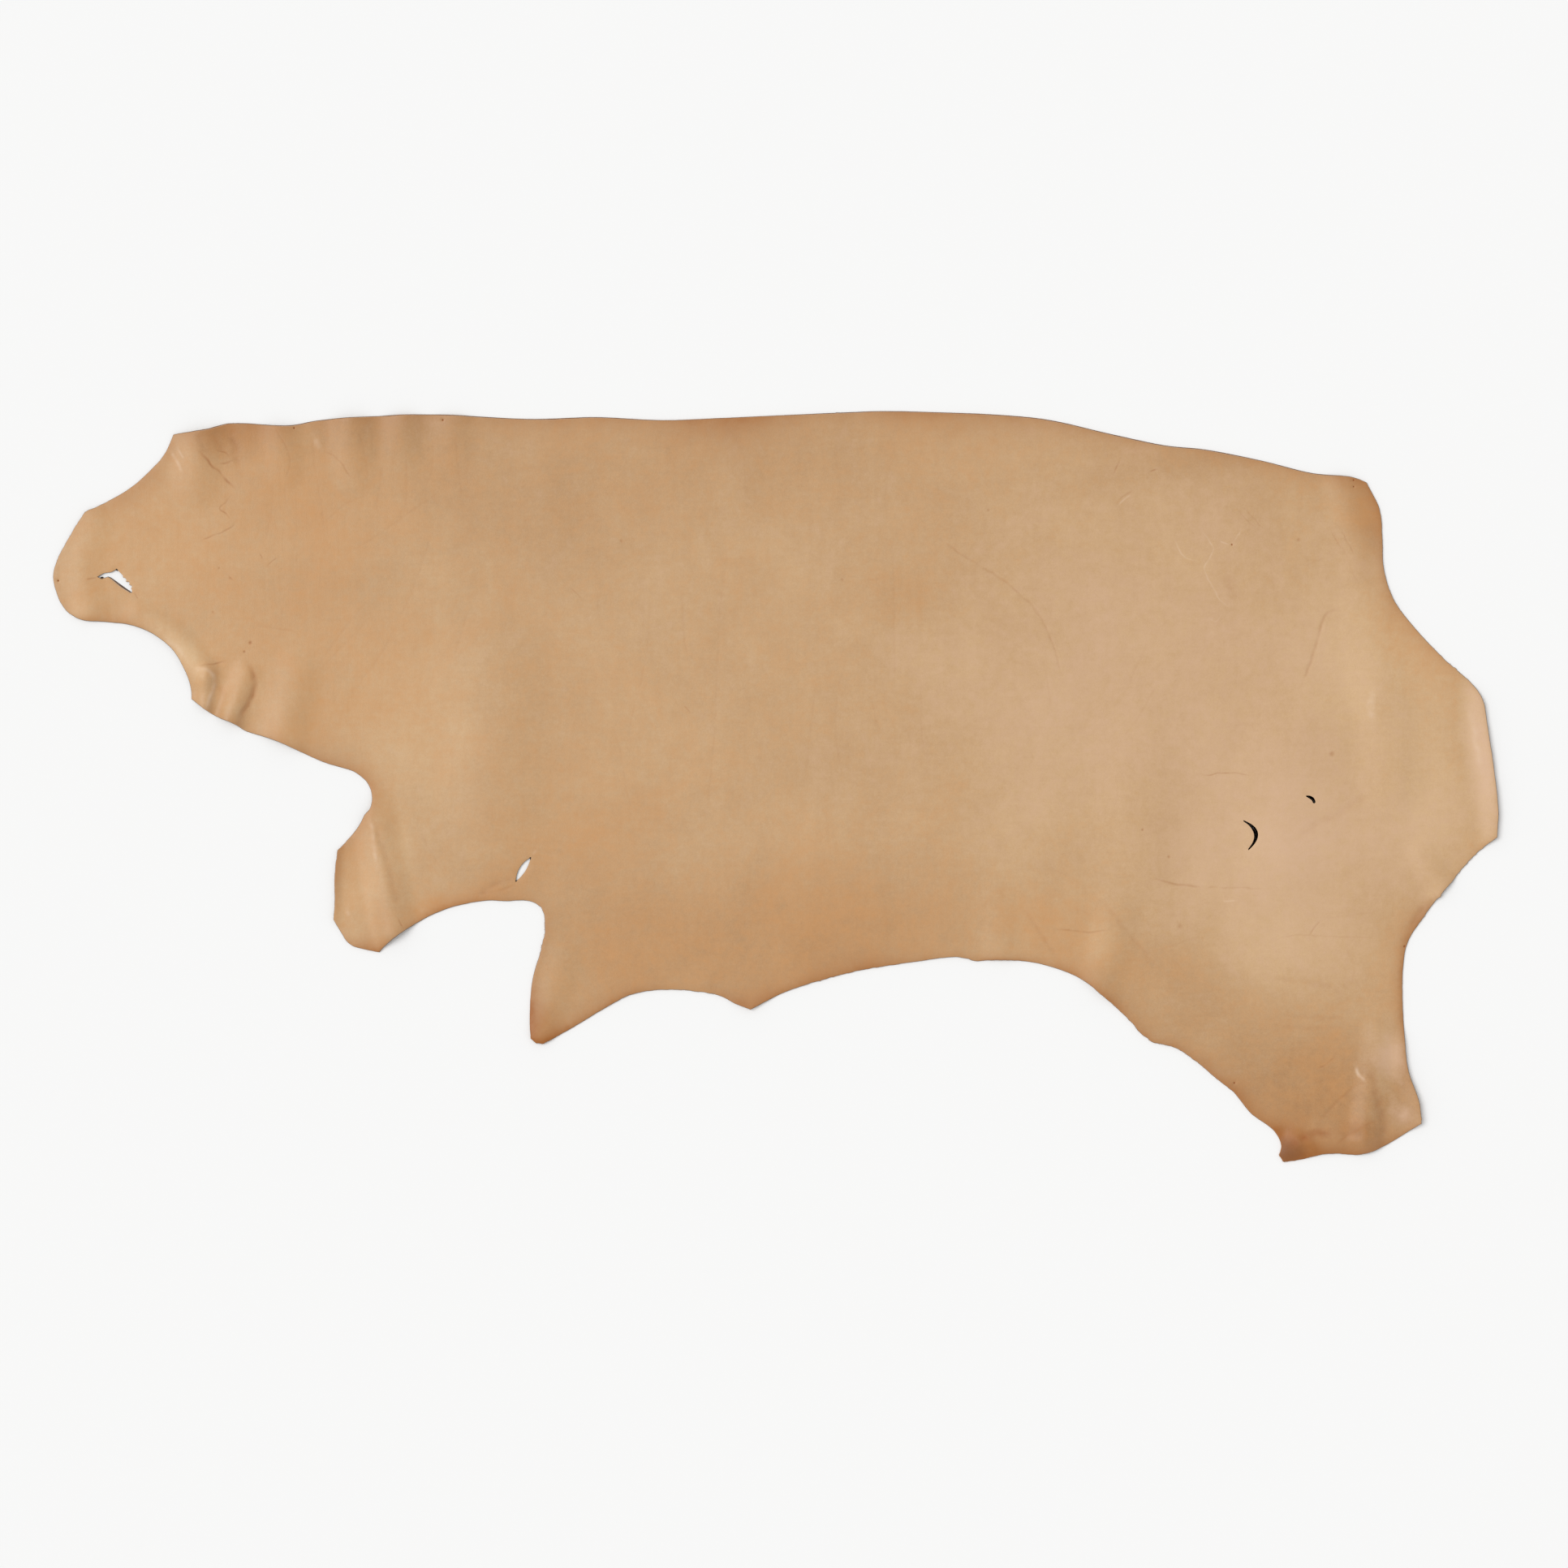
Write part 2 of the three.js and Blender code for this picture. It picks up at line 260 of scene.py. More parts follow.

# Creases, wrinkles, scratches and healed scars, and painted highlights: the glints, the flap arc, and
# the paleness of the nape scratches and the shank scar. A crease is cut in to its depth, or raised
# where that is negative, and its tone is from -1, dark brown, to 1, pale: a rub on some lines, a
# painted highlight on others. Along the hollows of folds (nape fold 3, flap hollow, throat trough,
# leg fold, shank valley, rump shade) the dark tone is partly painted shade.
CREASES = table("crease, half, depth, tone, line", [
    ("nape crease", 3.2, 0.45, -0.42, [(-955, 559), (-946, 545), (-936, 532), (-925, 525), (-915, 512),
     (-901, 498)]),
    ("nape fold 1", 9, 0.6, -0.1, [(-961, 584), (-952, 568), (-942, 552)]),
    ("nape fold 2", 9, 0.7, -0.1, [(-936, 588), (-928, 571), (-917, 558)]),
    ("nape fold 3", 10, 0.9, -0.14, [(-902, 595), (-901, 579), (-896, 555), (-892, 528)]),
    ("nape wrinkle 1", 2, 0.25, -0.28, [(-930, 559), (-917, 555), (-908, 549)]),
    ("nape wrinkle 2", 2.2, 0.3, -0.31, [(-923, 537), (-912, 537), (-902, 543)]),
    ("upper zigzag", 2, 0.25, -0.31, [(-905, 482), (-915, 471), (-923, 462), (-913, 452), (-908, 447)]),
    ("lower zigzag", 2.2, 0.25, -0.31, [(-899, 440), (-902, 433), (-916, 424), (-934, 417), (-952, 410)]),
    ("neck curve", 2.4, 0.2, -0.12, [(-831, 593), (-817, 572), (-808, 552), (-807, 532), (-815, 512)]),
    ("neck diagonal", 2.4, 0.3, -0.2, [(-747, 556), (-734, 549), (-720, 536), (-705, 514)]),
    ("cheek scratch 1", 1.8, 0.2, -0.37, [(-858, 387), (-853, 379)]),
    ("cheek scratch 2", 1.8, 0.2, -0.34, [(-843, 369), (-830, 379)]),
    ("cheek scratch 3", 1.8, 0.2, -0.25, [(-912, 354), (-902, 343)]),
    ("eye wrinkle", 2.2, 0.3, -0.35, [(-1146, 344), (-1136, 346), (-1128, 347)]),
    ("eye corner wrinkle", 2.0, 0.25, -0.3, [(-1066, 322), (-1063, 318), (-1060, 312)]),
    ("throat wrinkle", 2.6, 0.35, -0.31, [(-959, 201), (-939, 203), (-915, 207)]),
    ("flap arc", 5, -0.7, 0.42, [(-966, 193), (-950, 196), (-936, 188), (-932, 174), (-935, 158),
     (-943, 139), (-946, 127)]),
    ("flap hollow", 8, 0.84, -0.12, [(-922, 170), (-918, 145), (-926, 122)]),
    ("throat trough", 7, 1.54, -0.38, [(-874, 204), (-866, 180), (-867, 158), (-875, 139), (-885, 120),
     (-892, 103)]),
    ("leg crease", 2.2, 0.35, -0.37, [(-626, -220), (-623, -227), (-619, -234)]),
    ("leg fold", 9, 1.05, -0.1, [(-667, -55), (-652, -100), (-638, -150), (-624, -212)]),
    ("loin crease", 3.2, 0.35, -0.15, [(263, 417), (276, 409), (330, 373), (367, 351), (398, 327),
     (434, 292), (452, 258), (465, 228), (475, 185)]),
    ("back tick", 1.8, 0.15, -0.2, [(-341, 332), (-331, 323), (-321, 313)]),
    ("rib tick", 1.8, 0.15, -0.25, [(-152, 134), (-142, 123)]),
    ("croup nick 1", 1.9, 0.25, -0.31, [(573, 543), (568, 531), (562, 520)]),
    ("croup nick 2", 1.9, 0.25, -0.31, [(622, 522), (634, 528)]),
    ("croup nick 3", 2, 0.2, -0.22, [(566, 470), (578, 482), (593, 491)]),
    ("croup rub", 2.2, 0.15, 0.34, [(569, 466), (580, 477), (590, 484)]),
    ("rump rub 1", 1.9, 0.1, 0.3, [(664, 409), (673, 390), (684, 379), (695, 375)]),
    ("rump rub 2", 2.0, 0.1, 0.34, [(712, 421), (723, 406), (727, 394), (722, 379), (713, 367),
     (718, 348), (731, 324), (742, 306), (754, 300)]),
    ("rump shade", 14, 0.35, -0.09, [(748, 352), (757, 330), (768, 312)]),
    ("rump curl", 1.8, 0.1, 0.2, [(722, 279), (731, 274), (742, 286)]),
    ("rump cross 1", 1.8, 0.2, 0.38, [(739, 408), (754, 402)]),
    ("rump cross 2", 1.8, 0.2, 0.34, [(773, 423), (763, 409)]),
    ("hatch 1", 1.6, 0.15, -0.14, [(770, 458), (796, 431)]),
    ("hatch 2", 1.6, 0.15, -0.14, [(782, 460), (811, 429)]),
    ("tail line 1", 1.8, 0.2, -0.15, [(924, 424), (940, 396)]),
    ("tail line 2", 1.8, 0.2, -0.15, [(940, 428), (962, 385)]),
    ("hip crease", 4.2, 0.5, -0.2, [(934, 294), (921, 289), (912, 280), (902, 246), (890, 209),
     (875, 167)]),
    ("thigh scratch", 1.6, 0.2, -0.31, [(712, 19), (724, 18), (735, 22), (749, 22), (769, 22), (788, 19)]),
    ("thigh fold", 10, 0.56, -0.07, [(870, -82), (911, -58), (951, -36), (992, -12)]),
    ("flank wrinkle", 2.8, 0.35, -0.26, [(630, -154), (639, -156), (668, -163), (705, -167)]),
    ("faint flank wrinkle", 2.4, 0.2, -0.12, [(705, -167), (762, -169), (816, -170)]),
    ("flank diagonal", 7, 0.49, -0.1, [(552, -200), (593, -251), (627, -292)]),
    ("fore flank diagonal", 6, 0.42, -0.09, [(414, -205), (445, -250), (472, -290)]),
    ("flank rub", 2, 0.1, 0.34, [(744, -190), (764, -191)]),
    ("thigh wrinkle", 2.0, 0.25, -0.22, [(905, -225), (896, -235), (889, -247)]),
    ("thigh line", 2.0, 0.2, -0.11, [(830, -255), (870, -247), (924, -250), (992, -252)]),
    ("shank valley", 11, 1.45, -0.2, [(986, -467), (994, -490), (1003, -530), (1013, -562), (1006, -588)]),
    ("shank scar", 4.5, -0.4, 0.59, [(965, -467), (970, -479), (979, -489)]),
    ("shank arc 1", 4.0, 0.35, -0.12, [(903, -560), (918, -541), (942, -517), (966, -498), (980, -495)]),
    ("shank arc 2", 4.0, 0.35, -0.15, [(932, -598), (951, -579), (980, -562), (1003, -555)]),
    ("shank nick", 2.4, 0.25, -0.2, [(902, -468), (914, -463), (928, -451)]),
    ("gaskin ripple 1", 7, 0.3, -0.08, [(825, -318), (918, -332), (946, -348)]),
    ("gaskin ripple 2", 6, 0.3, -0.1, [(852, -380), (900, -384), (946, -384)]),
    ("gaskin ripple 3", 6, 0.3, -0.1, [(840, -398), (895, -401), (940, -401)]),
    ("fore flank wrinkle", 2.4, 0.3, -0.2, [(467, -238), (508, -241), (529, -242), (554, -238)]),
    ("foreleg glint", 6, -0.3, 0.3, [(-673, -50), (-667, -94), (-661, -139)]),
    ("foreleg corner glint", 5, -0.2, 0.4, [(-711, -206), (-708, -216)]),
    ("slit glint", 4, -0.1, 0.16, [(-404, -114), (-396, -105)]),
    ("slit wrinkle", 3.5, 0.4, -0.15, [(-435, -164), (-453, -172), (-492, -178)]),
    ("thigh glint", 9, -0.2, 0.45, [(992, 160), (990, 140), (991, 112)]),
    ("buttock glint", 7, -0.2, 0.28, [(1153, 130), (1161, 95), (1167, 58), (1172, 30)]),
    ("nape scratch 1", 4, -0.3, 0.45, [(-1003, 556), (-994, 538), (-986, 522)]),
    ("nape scratch 2", 3, -0.2, 0.35, [(-993, 560), (-984, 545)]),
    ("throat glint", 6, -0.2, 0.4, [(-1012, 245), (-996, 232), (-979, 215)]),
    ("neck glint", 8, -0.2, 0.3, [(-765, 578), (-758, 560)]),
    ("toe crease", 11, 1.3, -0.5, [(853, -600), (870, -588), (897, -578), (924, -574)]),
    ("armpit wrinkle", 9, 0.49, -0.1, [(-490, -176), (-463, -162), (-436, -152)]),
    ("hock crease", 8, 0.84, -0.19, [(1079, -199), (1062, -222), (1052, -243)]),
])

# Long faint wrinkles: upright ones below the backbone, and a fan from the throat over the neck.
WRINKLE = {"half": 3.0, "depth": 0.1, "tone": -0.065, "rows": (-1.0, 0, 1.0)}
WRINKLES = table("part, line", [
    ("neck", [(-770, 581), (-766, 528), (-756, 470), (-749, 424)]),
    ("neck", [(-690, 585), (-683, 552), (-678, 511)]),
    ("neck", [(-659, 558), (-656, 517), (-667, 447)]),
    ("neck", [(-615, 558), (-613, 505), (-617, 453)]),
    ("neck", [(-569, 581), (-572, 523), (-590, 482)]),
    ("neck", [(-533, 588), (-528, 540), (-522, 476)]),
    ("neck", [(-549, 497), (-616, 450), (-662, 418), (-714, 386)]),
    ("neck", [(-674, 488), (-720, 466), (-750, 440)]),
    ("neck", [(-569, 427), (-592, 360), (-607, 320), (-627, 276)]),
    ("neck", [(-633, 262), (-662, 212), (-691, 174)]),
    ("neck", [(-678, 308), (-709, 273), (-743, 227), (-772, 180)]),
    ("neck", [(-685, 267), (-726, 227), (-761, 189)]),
    ("neck", [(-854, 267), (-801, 259)]),
    ("neck", [(-817, 500), (-812, 459)]),
    ("neck", [(-836, 505), (-839, 453), (-851, 401)]),
    ("shoulder", [(-511, 290), (-522, 256), (-534, 215)]),
    ("shoulder", [(-592, -75), (-574, -106), (-554, -139)]),
    ("ribs", [(-207, 322), (-214, 228), (-224, 174), (-241, 106), (-244, 66)]),
    ("ribs", [(-154, 329), (-154, 282), (-148, 214)]),
    ("ribs", [(-81, 383), (-92, 295), (-97, 208), (-101, 106), (-108, 12), (-116, -56)]),
    ("ribs", [(-272, 107), (-257, 52), (-246, -15), (-240, -40)]),
    ("paunch", [(68, 181), (60, 106), (52, 39), (46, -2)]),
    ("paunch", [(121, 221), (104, 160), (100, 86), (110, 19)]),
    ("paunch", [(158, 160), (168, 100)]),
    ("loin", [(154, 343), (195, 351)]),
    ("loin", [(195, 390), (197, 280), (198, 174)]),
    ("loin", [(241, 174), (243, 93), (249, 39)]),
    ("loin", [(450, 190), (458, 133)]),
    ("rump", [(616, 231), (588, 174)]),
    ("rump", [(632, 166), (604, 117), (580, 85)]),
    ("tail", [(920, 433), (948, 384), (968, 336)]),
    ("tail", [(884, 368), (924, 384)]),
    ("thigh", [(912, -218), (956, -215), (999, -208)]),
    ("thigh", [(950, -270), (962, -308), (956, -333)]),
    ("thigh", [(633, -274), (689, -255), (708, -252)]),
    ("thigh", [(462, -140), (488, -148)]),
    ("thigh", [(498, -202), (528, -215)]),
    ("shank", [(872, -494), (869, -517), (866, -536)]),
])

# A crease or wrinkle fades at its ends and is uneven along its way, which wanders a little.
LINES = CREASES + WRINKLES
END_STEEPNESS = 5
END_DEPTH = 0.25
EVEN_SHARE = 0.9
UNEVEN_SHARE = 0.6
UNEVEN_WAVE = 12
UNEVEN_LIMITS = (0.35, 1.4)
WAY_WAVE = 13
WAY_SEEDS = (0, 0.5)

# Pin holes, tick marks and spots. A spot is sunk to its depth.
SPOT_REACH = 1.6
SPOT_TONE = 1.6
SPOTS = table("spot, at, radius, depth, tone", [
    ("tail corner hole", (961, 509), 1.1, 1.8, -1.0),
    ("second tail corner hole", (961, 498), 1.0, 1.8, -1.0),
    ("neck edge hole", (-800, 595.5), 1.2, 1.8, -1.0),
    ("withers hole", (-553, 609), 1.2, 1.8, -1.0),
    ("hock hole", (1046, -266), 1.5, 2.0, -1.0),
    ("thigh edge hole", (763, -493), 1.2, 1.8, -1.0),
    ("muzzle hole", (-1192.5, 342), 1.3, 1.8, -1.0),
    ("cheek spot", (-873, 239), 2.6, 0.6, -0.55),
    ("second cheek spot", (-883, 224), 1.8, 0.5, -0.5),
    ("rump dot", (759, 402), 1.3, 1.4, -0.9),
    ("back spot", (-256, 408), 2.2, 0.3, -0.25),
    ("loin spot", (111, 344), 2.2, 0.3, -0.25),
    ("croup spot", (354, 459), 2.0, 0.3, -0.25),
    ("thigh spot", (925, 54), 3.6, 0.4, -0.3),
    ("rump ring", (870, 410), 2.6, 0.4, -0.25),
    ("flank spot", (610, -72), 1.8, 0.4, -0.4),
    ("second flank spot", (654, -117), 2.0, 0.4, -0.35),
    ("stifle spot", (673, -233), 3.6, 0.3, -0.2),
    ("cheek tick", (-925, 363), 1.8, 0.2, -0.3),
    ("second cheek tick", (-907, 346), 1.6, 0.2, -0.25),
    ("jaw tick", (-935, 290), 1.8, 0.2, -0.25),
])

# Where the tan is lighter or darker (shade), and more orange or more pink (warmth). Patches beside
# a fold mostly make up for its own shading, which is a little stronger here than on the real side,
# and so do the light patches in the foreleg and shank hollows and those listed after the toe. The
# throat rim, buttock rim, shank light and shank rim light patches are painted sheen, where the
# glossy grain catches the lamp.
PATCH_SPREAD = 1.35
PATCHES = table("patch, at, reach, turn, shade, warmth", [
    ("head", (-1080, 400), (190, 170), 0, 0.26, 0.34),
    ("neck", (-820, 420), (260, 230), 0, -0.02, 0.3),
    ("cheek", (-1030, 475), (26, 60), 0, 0.17, 0.0),
    ("nape corner", (-984, 550), (28, 36), 0, 0.1, 0.2),
    ("nape", (-905, 580), (80, 45), 0, -0.36, 0.1),
    ("throat rim", (-990, 225), (28, 70), 40, 0.5, -0.1),
    ("neck ruffles", (-720, 590), (240, 50), 0, -0.2, -0.12),
    ("upper neck", (-690, 520), (230, 110), 0, -0.15, 0.12),
    ("throat", (-935, 190), (90, 110), 0, 0.12, 0.2),
    ("dewlap rim", (-800, 85), (130, 45), 22, 0.0, 0.25),
    ("shoulder", (-700, 190), (260, 130), 0, 0.12, 0.25),
    ("chest", (-595, 55), (115, 180), 0, 0.2, 0.1),
    ("foreleg", (-705, -175), (50, 90), 0, 0.3, 0.2),
    ("fore shank corner", (-750, -222), (30, 40), 0, 0.5, 0.1),
    ("foreleg top", (-690, -30), (60, 80), 0, 0.0, 0.22),
    ("foreleg side", (-692, -112), (28, 56), 0, -0.12, 0.2),
    ("foreleg ridge end", (-652, -215), (22, 40), 0, -0.22, 0.15),
    ("foreleg hollow", (-620, -115), (26, 80), 6, 0.24, 0.0),
    ("fore shank end", (-706, -255), (26, 26), 0, 0.25, 0.0),
    ("foreleg rim", (-665, -290), (60, 36), 15, 0.1, 0.6),
    ("armpit rim", (-545, -205), (100, 36), 15, 0.2, 0.55),
    ("armpit", (-455, -165), (80, 50), 25, -0.3, 0.25),
    ("withers", (-420, 480), (240, 150), 0, -0.22, 0.05),
    ("back", (-30, 540), (300, 120), 0, -0.2, 0.0),
    ("fore ribs", (-400, 170), (110, 180), 0, -0.11, 0.0),
    ("low ribs", (-290, -80), (140, 110), 0, -0.05, 0.35),
    ("saddle blotch", (205, 315), (95, 60), 10, -0.12, 0.3),
    ("fore belly", (-260, -270), (170, 150), 0, -0.28, 0.26),
    ("belly tip", (-388, -425), (40, 60), -15, -0.3, 0.4),
    ("belly", (60, -250), (290, 150), 6, -0.42, 0.34),
    ("paunch", (20, 10), (220, 140), 0, 0.0, 0.02),
    ("flank edge", (480, -240), (170, 80), -25, -0.06, 0.3),
    ("flank light", (540, -262), (36, 44), 20, 0.25, 0.0),
    ("hind half", (600, 150), (430, 380), 0, 0.14, -0.36),
    ("thigh", (870, -110), (230, 210), 0, 0.16, -0.45),
    ("croup", (620, 470), (330, 110), -8, -0.04, -0.05),
    ("croup rim", (700, 545), (240, 40), 12, -0.2, 0.15),
    ("rump stain", (800, 410), (130, 90), 0, 0.03, 0.04),
    ("tail corner", (984, 470), (54, 90), 0, -0.22, 0.4),
    ("rump light", (965, 190), (120, 170), 20, 0.27, -0.12),
    ("buttock top", (1060, 240), (120, 70), -42, 0.2, 0.3),
    ("buttock", (1095, 60), (80, 170), 0, 0.26, 0.0),
    ("under the buttock", (1085, -75), (100, 130), 0, 0.2, -0.22),
    ("buttock rim", (1172, 70), (30, 170), 6, 0.38, -0.75),
    ("thigh front", (690, -370), (180, 120), -30, -0.3, 0.04),
    ("gaskin", (850, -280), (150, 90), 0, 0.2, -0.15),
    ("shank", (910, -510), (190, 120), 0, -0.64, 0.24),
    ("hock edge", (1040, -300), (50, 110), 0, 0.05, 0.1),
    ("shank back", (1010, -490), (70, 110), 0, 0.0, -0.3),
    ("shank light", (1020, -448), (32, 42), 0, 0.26, -0.6),
    ("shank back rim", (1046, -470), (22, 110), 4, -0.26, 0.0),
    ("shank hollow", (1006, -492), (18, 28), 0, 0.28, 0.0),
    ("shank middle", (968, -572), (34, 24), 0, -0.46, 0.0),
    ("shank front", (868, -498), (34, 36), 0, 0.17, 0.0),
    ("shank rim light", (1044, -546), (24, 19), -25, -0.12, -0.6),
    ("toe", (850, -610), (50, 38), 0, -2.9, 0.6),
    ("beside the tail roll", (1000, 362), (18, 34), 10, 0.33, 0.0),
    ("beside the hock ruffle", (1100, -180), (40, 22), 42, 0.25, -0.1),
    ("beside the muzzle roll", (-1160, 290), (24, 24), 0, 0.24, 0.0),
    ("poll", (-1010, 530), (24, 24), 0, 0.24, 0.0),
    ("beside the dewlap", (-800, 80), (24, 26), 0, 0.26, 0.0),
    ("armpit bay", (-590, -220), (26, 20), 0, 0.26, 0.0),
    ("beside a neck ruffle", (-786, 590), (28, 24), 0, 0.24, 0.0),
    ("belly tip rim", (-350, -400), (22, 24), 0, 0.24, 0.0),
    ("beside the throat roll", (-958, 222), (24, 36), 0, 0.24, 0.0),
    ("above the foreleg ridge", (-650, -40), (20, 24), 0, 0.24, 0.0),
])

# Where the rim is stained by the tan liquor: how far in the stain reaches, and how dark it is.
RIM_STAIN = {"width": 8, "dark": 0.22}
STAIN_SPREAD = 1.6
RIM_STAINS = table("stretch, at, reach, width, dark", [
    ("poll", (-1066, 505), 90, 28, 0.42),
    ("jaw", (-1120, 270), 60, 9, 0.5),
    ("chest", (-716, 40), 120, 17, 0.6),
    ("throat flap", (-915, 112), 45, 8, 0.45),
    ("fore shank", (-735, -135), 60, 11, 0.7),
    ("fore shank end", (-680, -272), 45, 14, 0.8),
    ("armpit", (-540, -205), 100, 14, 0.7),
    ("armpit end", (-388, -250), 50, 8, 0.45),
    ("belly tip", (-402, -405), 80, 26, 1.3),
    ("fore belly", (-290, -380), 100, 14, 0.75),
    ("navel", (-41, -368), 60, 18, 0.9),
    ("belly", (120, -312), 130, 18, 0.8),
    ("fore flank", (375, -292), 60, 5, 0.9),
    ("flank", (535, -345), 110, 12, 0.85),
    ("stifle", (640, -432), 50, 10, 0.6),
    ("thigh front", (765, -512), 110, 20, 0.85),
    ("toe", (850, -618), 50, 40, 1.9),
    ("shank end", (960, -608), 100, 24, 1.0),
    ("shank back", (1047, -330), 130, 9, 0.85),
    ("hock", (1062, -232), 45, 16, 0.7),
    ("under the buttock", (1146, -130), 36, 10, 0.15),
    ("buttock", (1190, 40), 130, 6, 0.08),
    ("buttock top", (1055, 272), 110, 16, 0.4),
    ("tail corner", (1006, 430), 110, 24, 0.62),
    ("croup", (800, 540), 150, 15, 0.5),
    ("loin", (280, 618), 130, 24, 0.75),
    ("back", (-75, 612), 110, 30, 0.95),
    ("withers", (-420, 625), 150, 22, 0.5),
    ("neck ruffles", (-660, 622), 130, 28, 0.55),
    ("nape", (-900, 600), 110, 28, 0.6),
    ("shoulders", (-245, 612), 110, 22, 0.5),
    ("saddle", (110, 620), 110, 18, 0.45),
    ("rear loin", (400, 612), 100, 26, 0.6),
    ("croup top", (540, 585), 120, 20, 0.5),
    ("tail top", (985, 515), 50, 22, 0.9),
])

# How finely the two faces are divided. A clearance is a share of the pitch, half width or radius
# that it goes by, and so many millimetres more.
GRAIN_PITCH = 7.0
FOLD_PITCH = 4.8
FLESH_PITCH = 18.0
NARROW_FOLD = 60
CREASE_STEP = 2.6
CREASE_ROWS = (-1.7, -1.0, -0.5, 0, 0.5, 1.0, 1.7)
CREASE_NEAR = 2
CREASE_APART = 0.7
SPOT_RINGS = {0.6: 6, 1.0: 8, 1.8: 10}
GRAIN_CLEAR = (0.55, 0.8)
FLESH_CLEAR = (0.5, 0.5)
CREASE_CLEAR = (2.1, 1)
SPOT_CLEAR = (2.4, 0.5)
CREASE_OFF_RIM = 1.6
SAME_POINT = 1e-4

# How the leather's thickness swells and thins, and where the neck's fine wrinkles set in. Each
# wave, here and on the rim, is its height, length and seed. NOISE_SWING brings noise to -1 to 1.
NOISE_SWING = 1.6
SWELL_WAVES = [(0.45, 85, 11.5), (0.12, 30, 13.5)]
NECK_FROM = -480
NECK_RUN_IN = 260


def rim_loops(node):
    """The loops on which a node's upper faces meet its upright ones, outermost first, hide on the left."""
    solid = bmesh.new()
    solid.from_mesh(node.data)
    bmesh.ops.remove_doubles(solid, verts=solid.verts, dist=SAME_CORNER)
    solid.verts.index_update()
    solid.normal_update()
    follows = {}
    for face in solid.faces:
        if face.normal.z > FACES_UP:
            for corner in face.loops:
                if any(abs(other.normal.z) < UPRIGHT for other in corner.edge.link_faces):
                    follows[corner.vert.index] = corner.link_loop_next.vert.index
    places = [(vert.co.x / MM, vert.co.y / MM) for vert in solid.verts]
    solid.free()
    loops = []
    while follows:
        loop = [next(iter(follows))]
        while loop[-1] in follows:
            loop.append(follows.pop(loop[-1]))
        loops.append(np.array([places[index] for index in loop[:-1]]))
    return sorted(loops, key=len, reverse=True)


def turning(loop):
    """How sharply a closed loop turns at each of its points, in radians."""
    ahead = np.roll(loop, -1, axis=0) - loop
    behind = loop - np.roll(loop, 1, axis=0)
    sideways = behind[:, 0] * ahead[:, 1] - behind[:, 1] * ahead[:, 0]
    return np.abs(np.arctan2(sideways, (ahead * behind).sum(1)))


def smooth_run(points, step):
    """Points about a step apart on a smooth curve through the given ones, leaving out the last."""
    knots = [Vector(point) for point in points]
    ways = [(after - before).normalized()
            for before, after in zip(knots[:1] + knots[:-1], knots[1:] + knots[-1:])]
    run = []
    for a, b, way_a, way_b in zip(knots, knots[1:], ways, ways[1:]):
        reach = (b - a).length / 3
        steps = max(1, round((b - a).length / step))
        run += geometry.interpolate_bezier(a, a + way_a * reach, b - way_b * reach, b, steps + 1)[:-1]
    return np.array(run)


def smooth_loop(loop, step):
    """A closed loop redrawn in short steps, with a corner wherever it turns sharply."""
    loop = loop[turning(loop) > STRAIGHT]
    corners = np.flatnonzero(turning(loop) > CORNER)
    loop = np.roll(loop, -corners[0], axis=0)
    ends = [*(corners - corners[0]), len(loop)]
    closed = np.vstack([loop, loop[:1]])
    return np.vstack([smooth_run(closed[a:b + 1], step) for a, b in zip(ends, ends[1:])])


def outward_of(loop):
    """Which way is out of the hide at each point of a loop that has the hide on its left."""
    way = np.roll(loop, -1, axis=0) - np.roll(loop, 1, axis=0)
    return np.stack([way[:, 1], -way[:, 0]], axis=1) / np.linalg.norm(way, axis=1)[:, None]


def wander(points, wave, seed):
    """Smooth noise from about -1 to 1, with waves of about the given length."""
    return np.array([noise.noise((x / wave, y / wave, seed)) for x, y in points]) * NOISE_SWING


def waver(points, waves):
    """The sum of several noises, each by its height, wavelength and seed."""
    return sum(swell * wander(points, wave, seed) for swell, wave, seed in waves)


def hump(away):
    """A rounded section, level at the top: 1 in its middle, and 0 from 1 away."""
    return np.cos(np.minimum(away, 1) * math.pi / 2) ** 2


def bell(points, place, reach):
    """1 at a place, falling to 0 at its reach."""
    away = np.hypot(*((points - place) / reach).T)
    return np.where(away < 1, hump(away), 0)


def follow(points, line):
    """How far each point lies from a line, and how far along the line that is, from 0 to 1."""
    line = np.array(line, float)
    runs = np.diff(line, axis=0)
    lengths = np.hypot(*runs.T)
    away = np.full(len(points), np.inf)
    along = np.zeros(len(points))
    passed = 0
    for start, run, length in zip(line, runs, lengths):
        share = np.clip((points - start) @ run / length ** 2, 0, 1)
        distance = np.hypot(*(points - start - share[:, None] * run).T)
        along = np.where(distance < away, (passed + share * length) / lengths.sum(), along)
        away = np.minimum(distance, away)
        passed += length
    return away, along


def near_line(points, row, reach):
    """Which points a fold or crease may touch, how far each lies from it, and how far along it."""
    line = np.array(row["line"])
    near = np.flatnonzero(((points > line.min(0) - reach) & (points < line.max(0) + reach)).all(1))
    return near, *follow(points[near], row.get("path", row["line"]))


def lie(points):
    """How high the folds lift the flesh side over the floor."""
    height = np.zeros(len(points))
    for fold in FOLDS:
        near, away, along = near_line(points, fold, fold["half"])
        first, last = fold["height"]
        height[near] += (first + (last - first) * along) * hump(away / fold["half"])
    return height


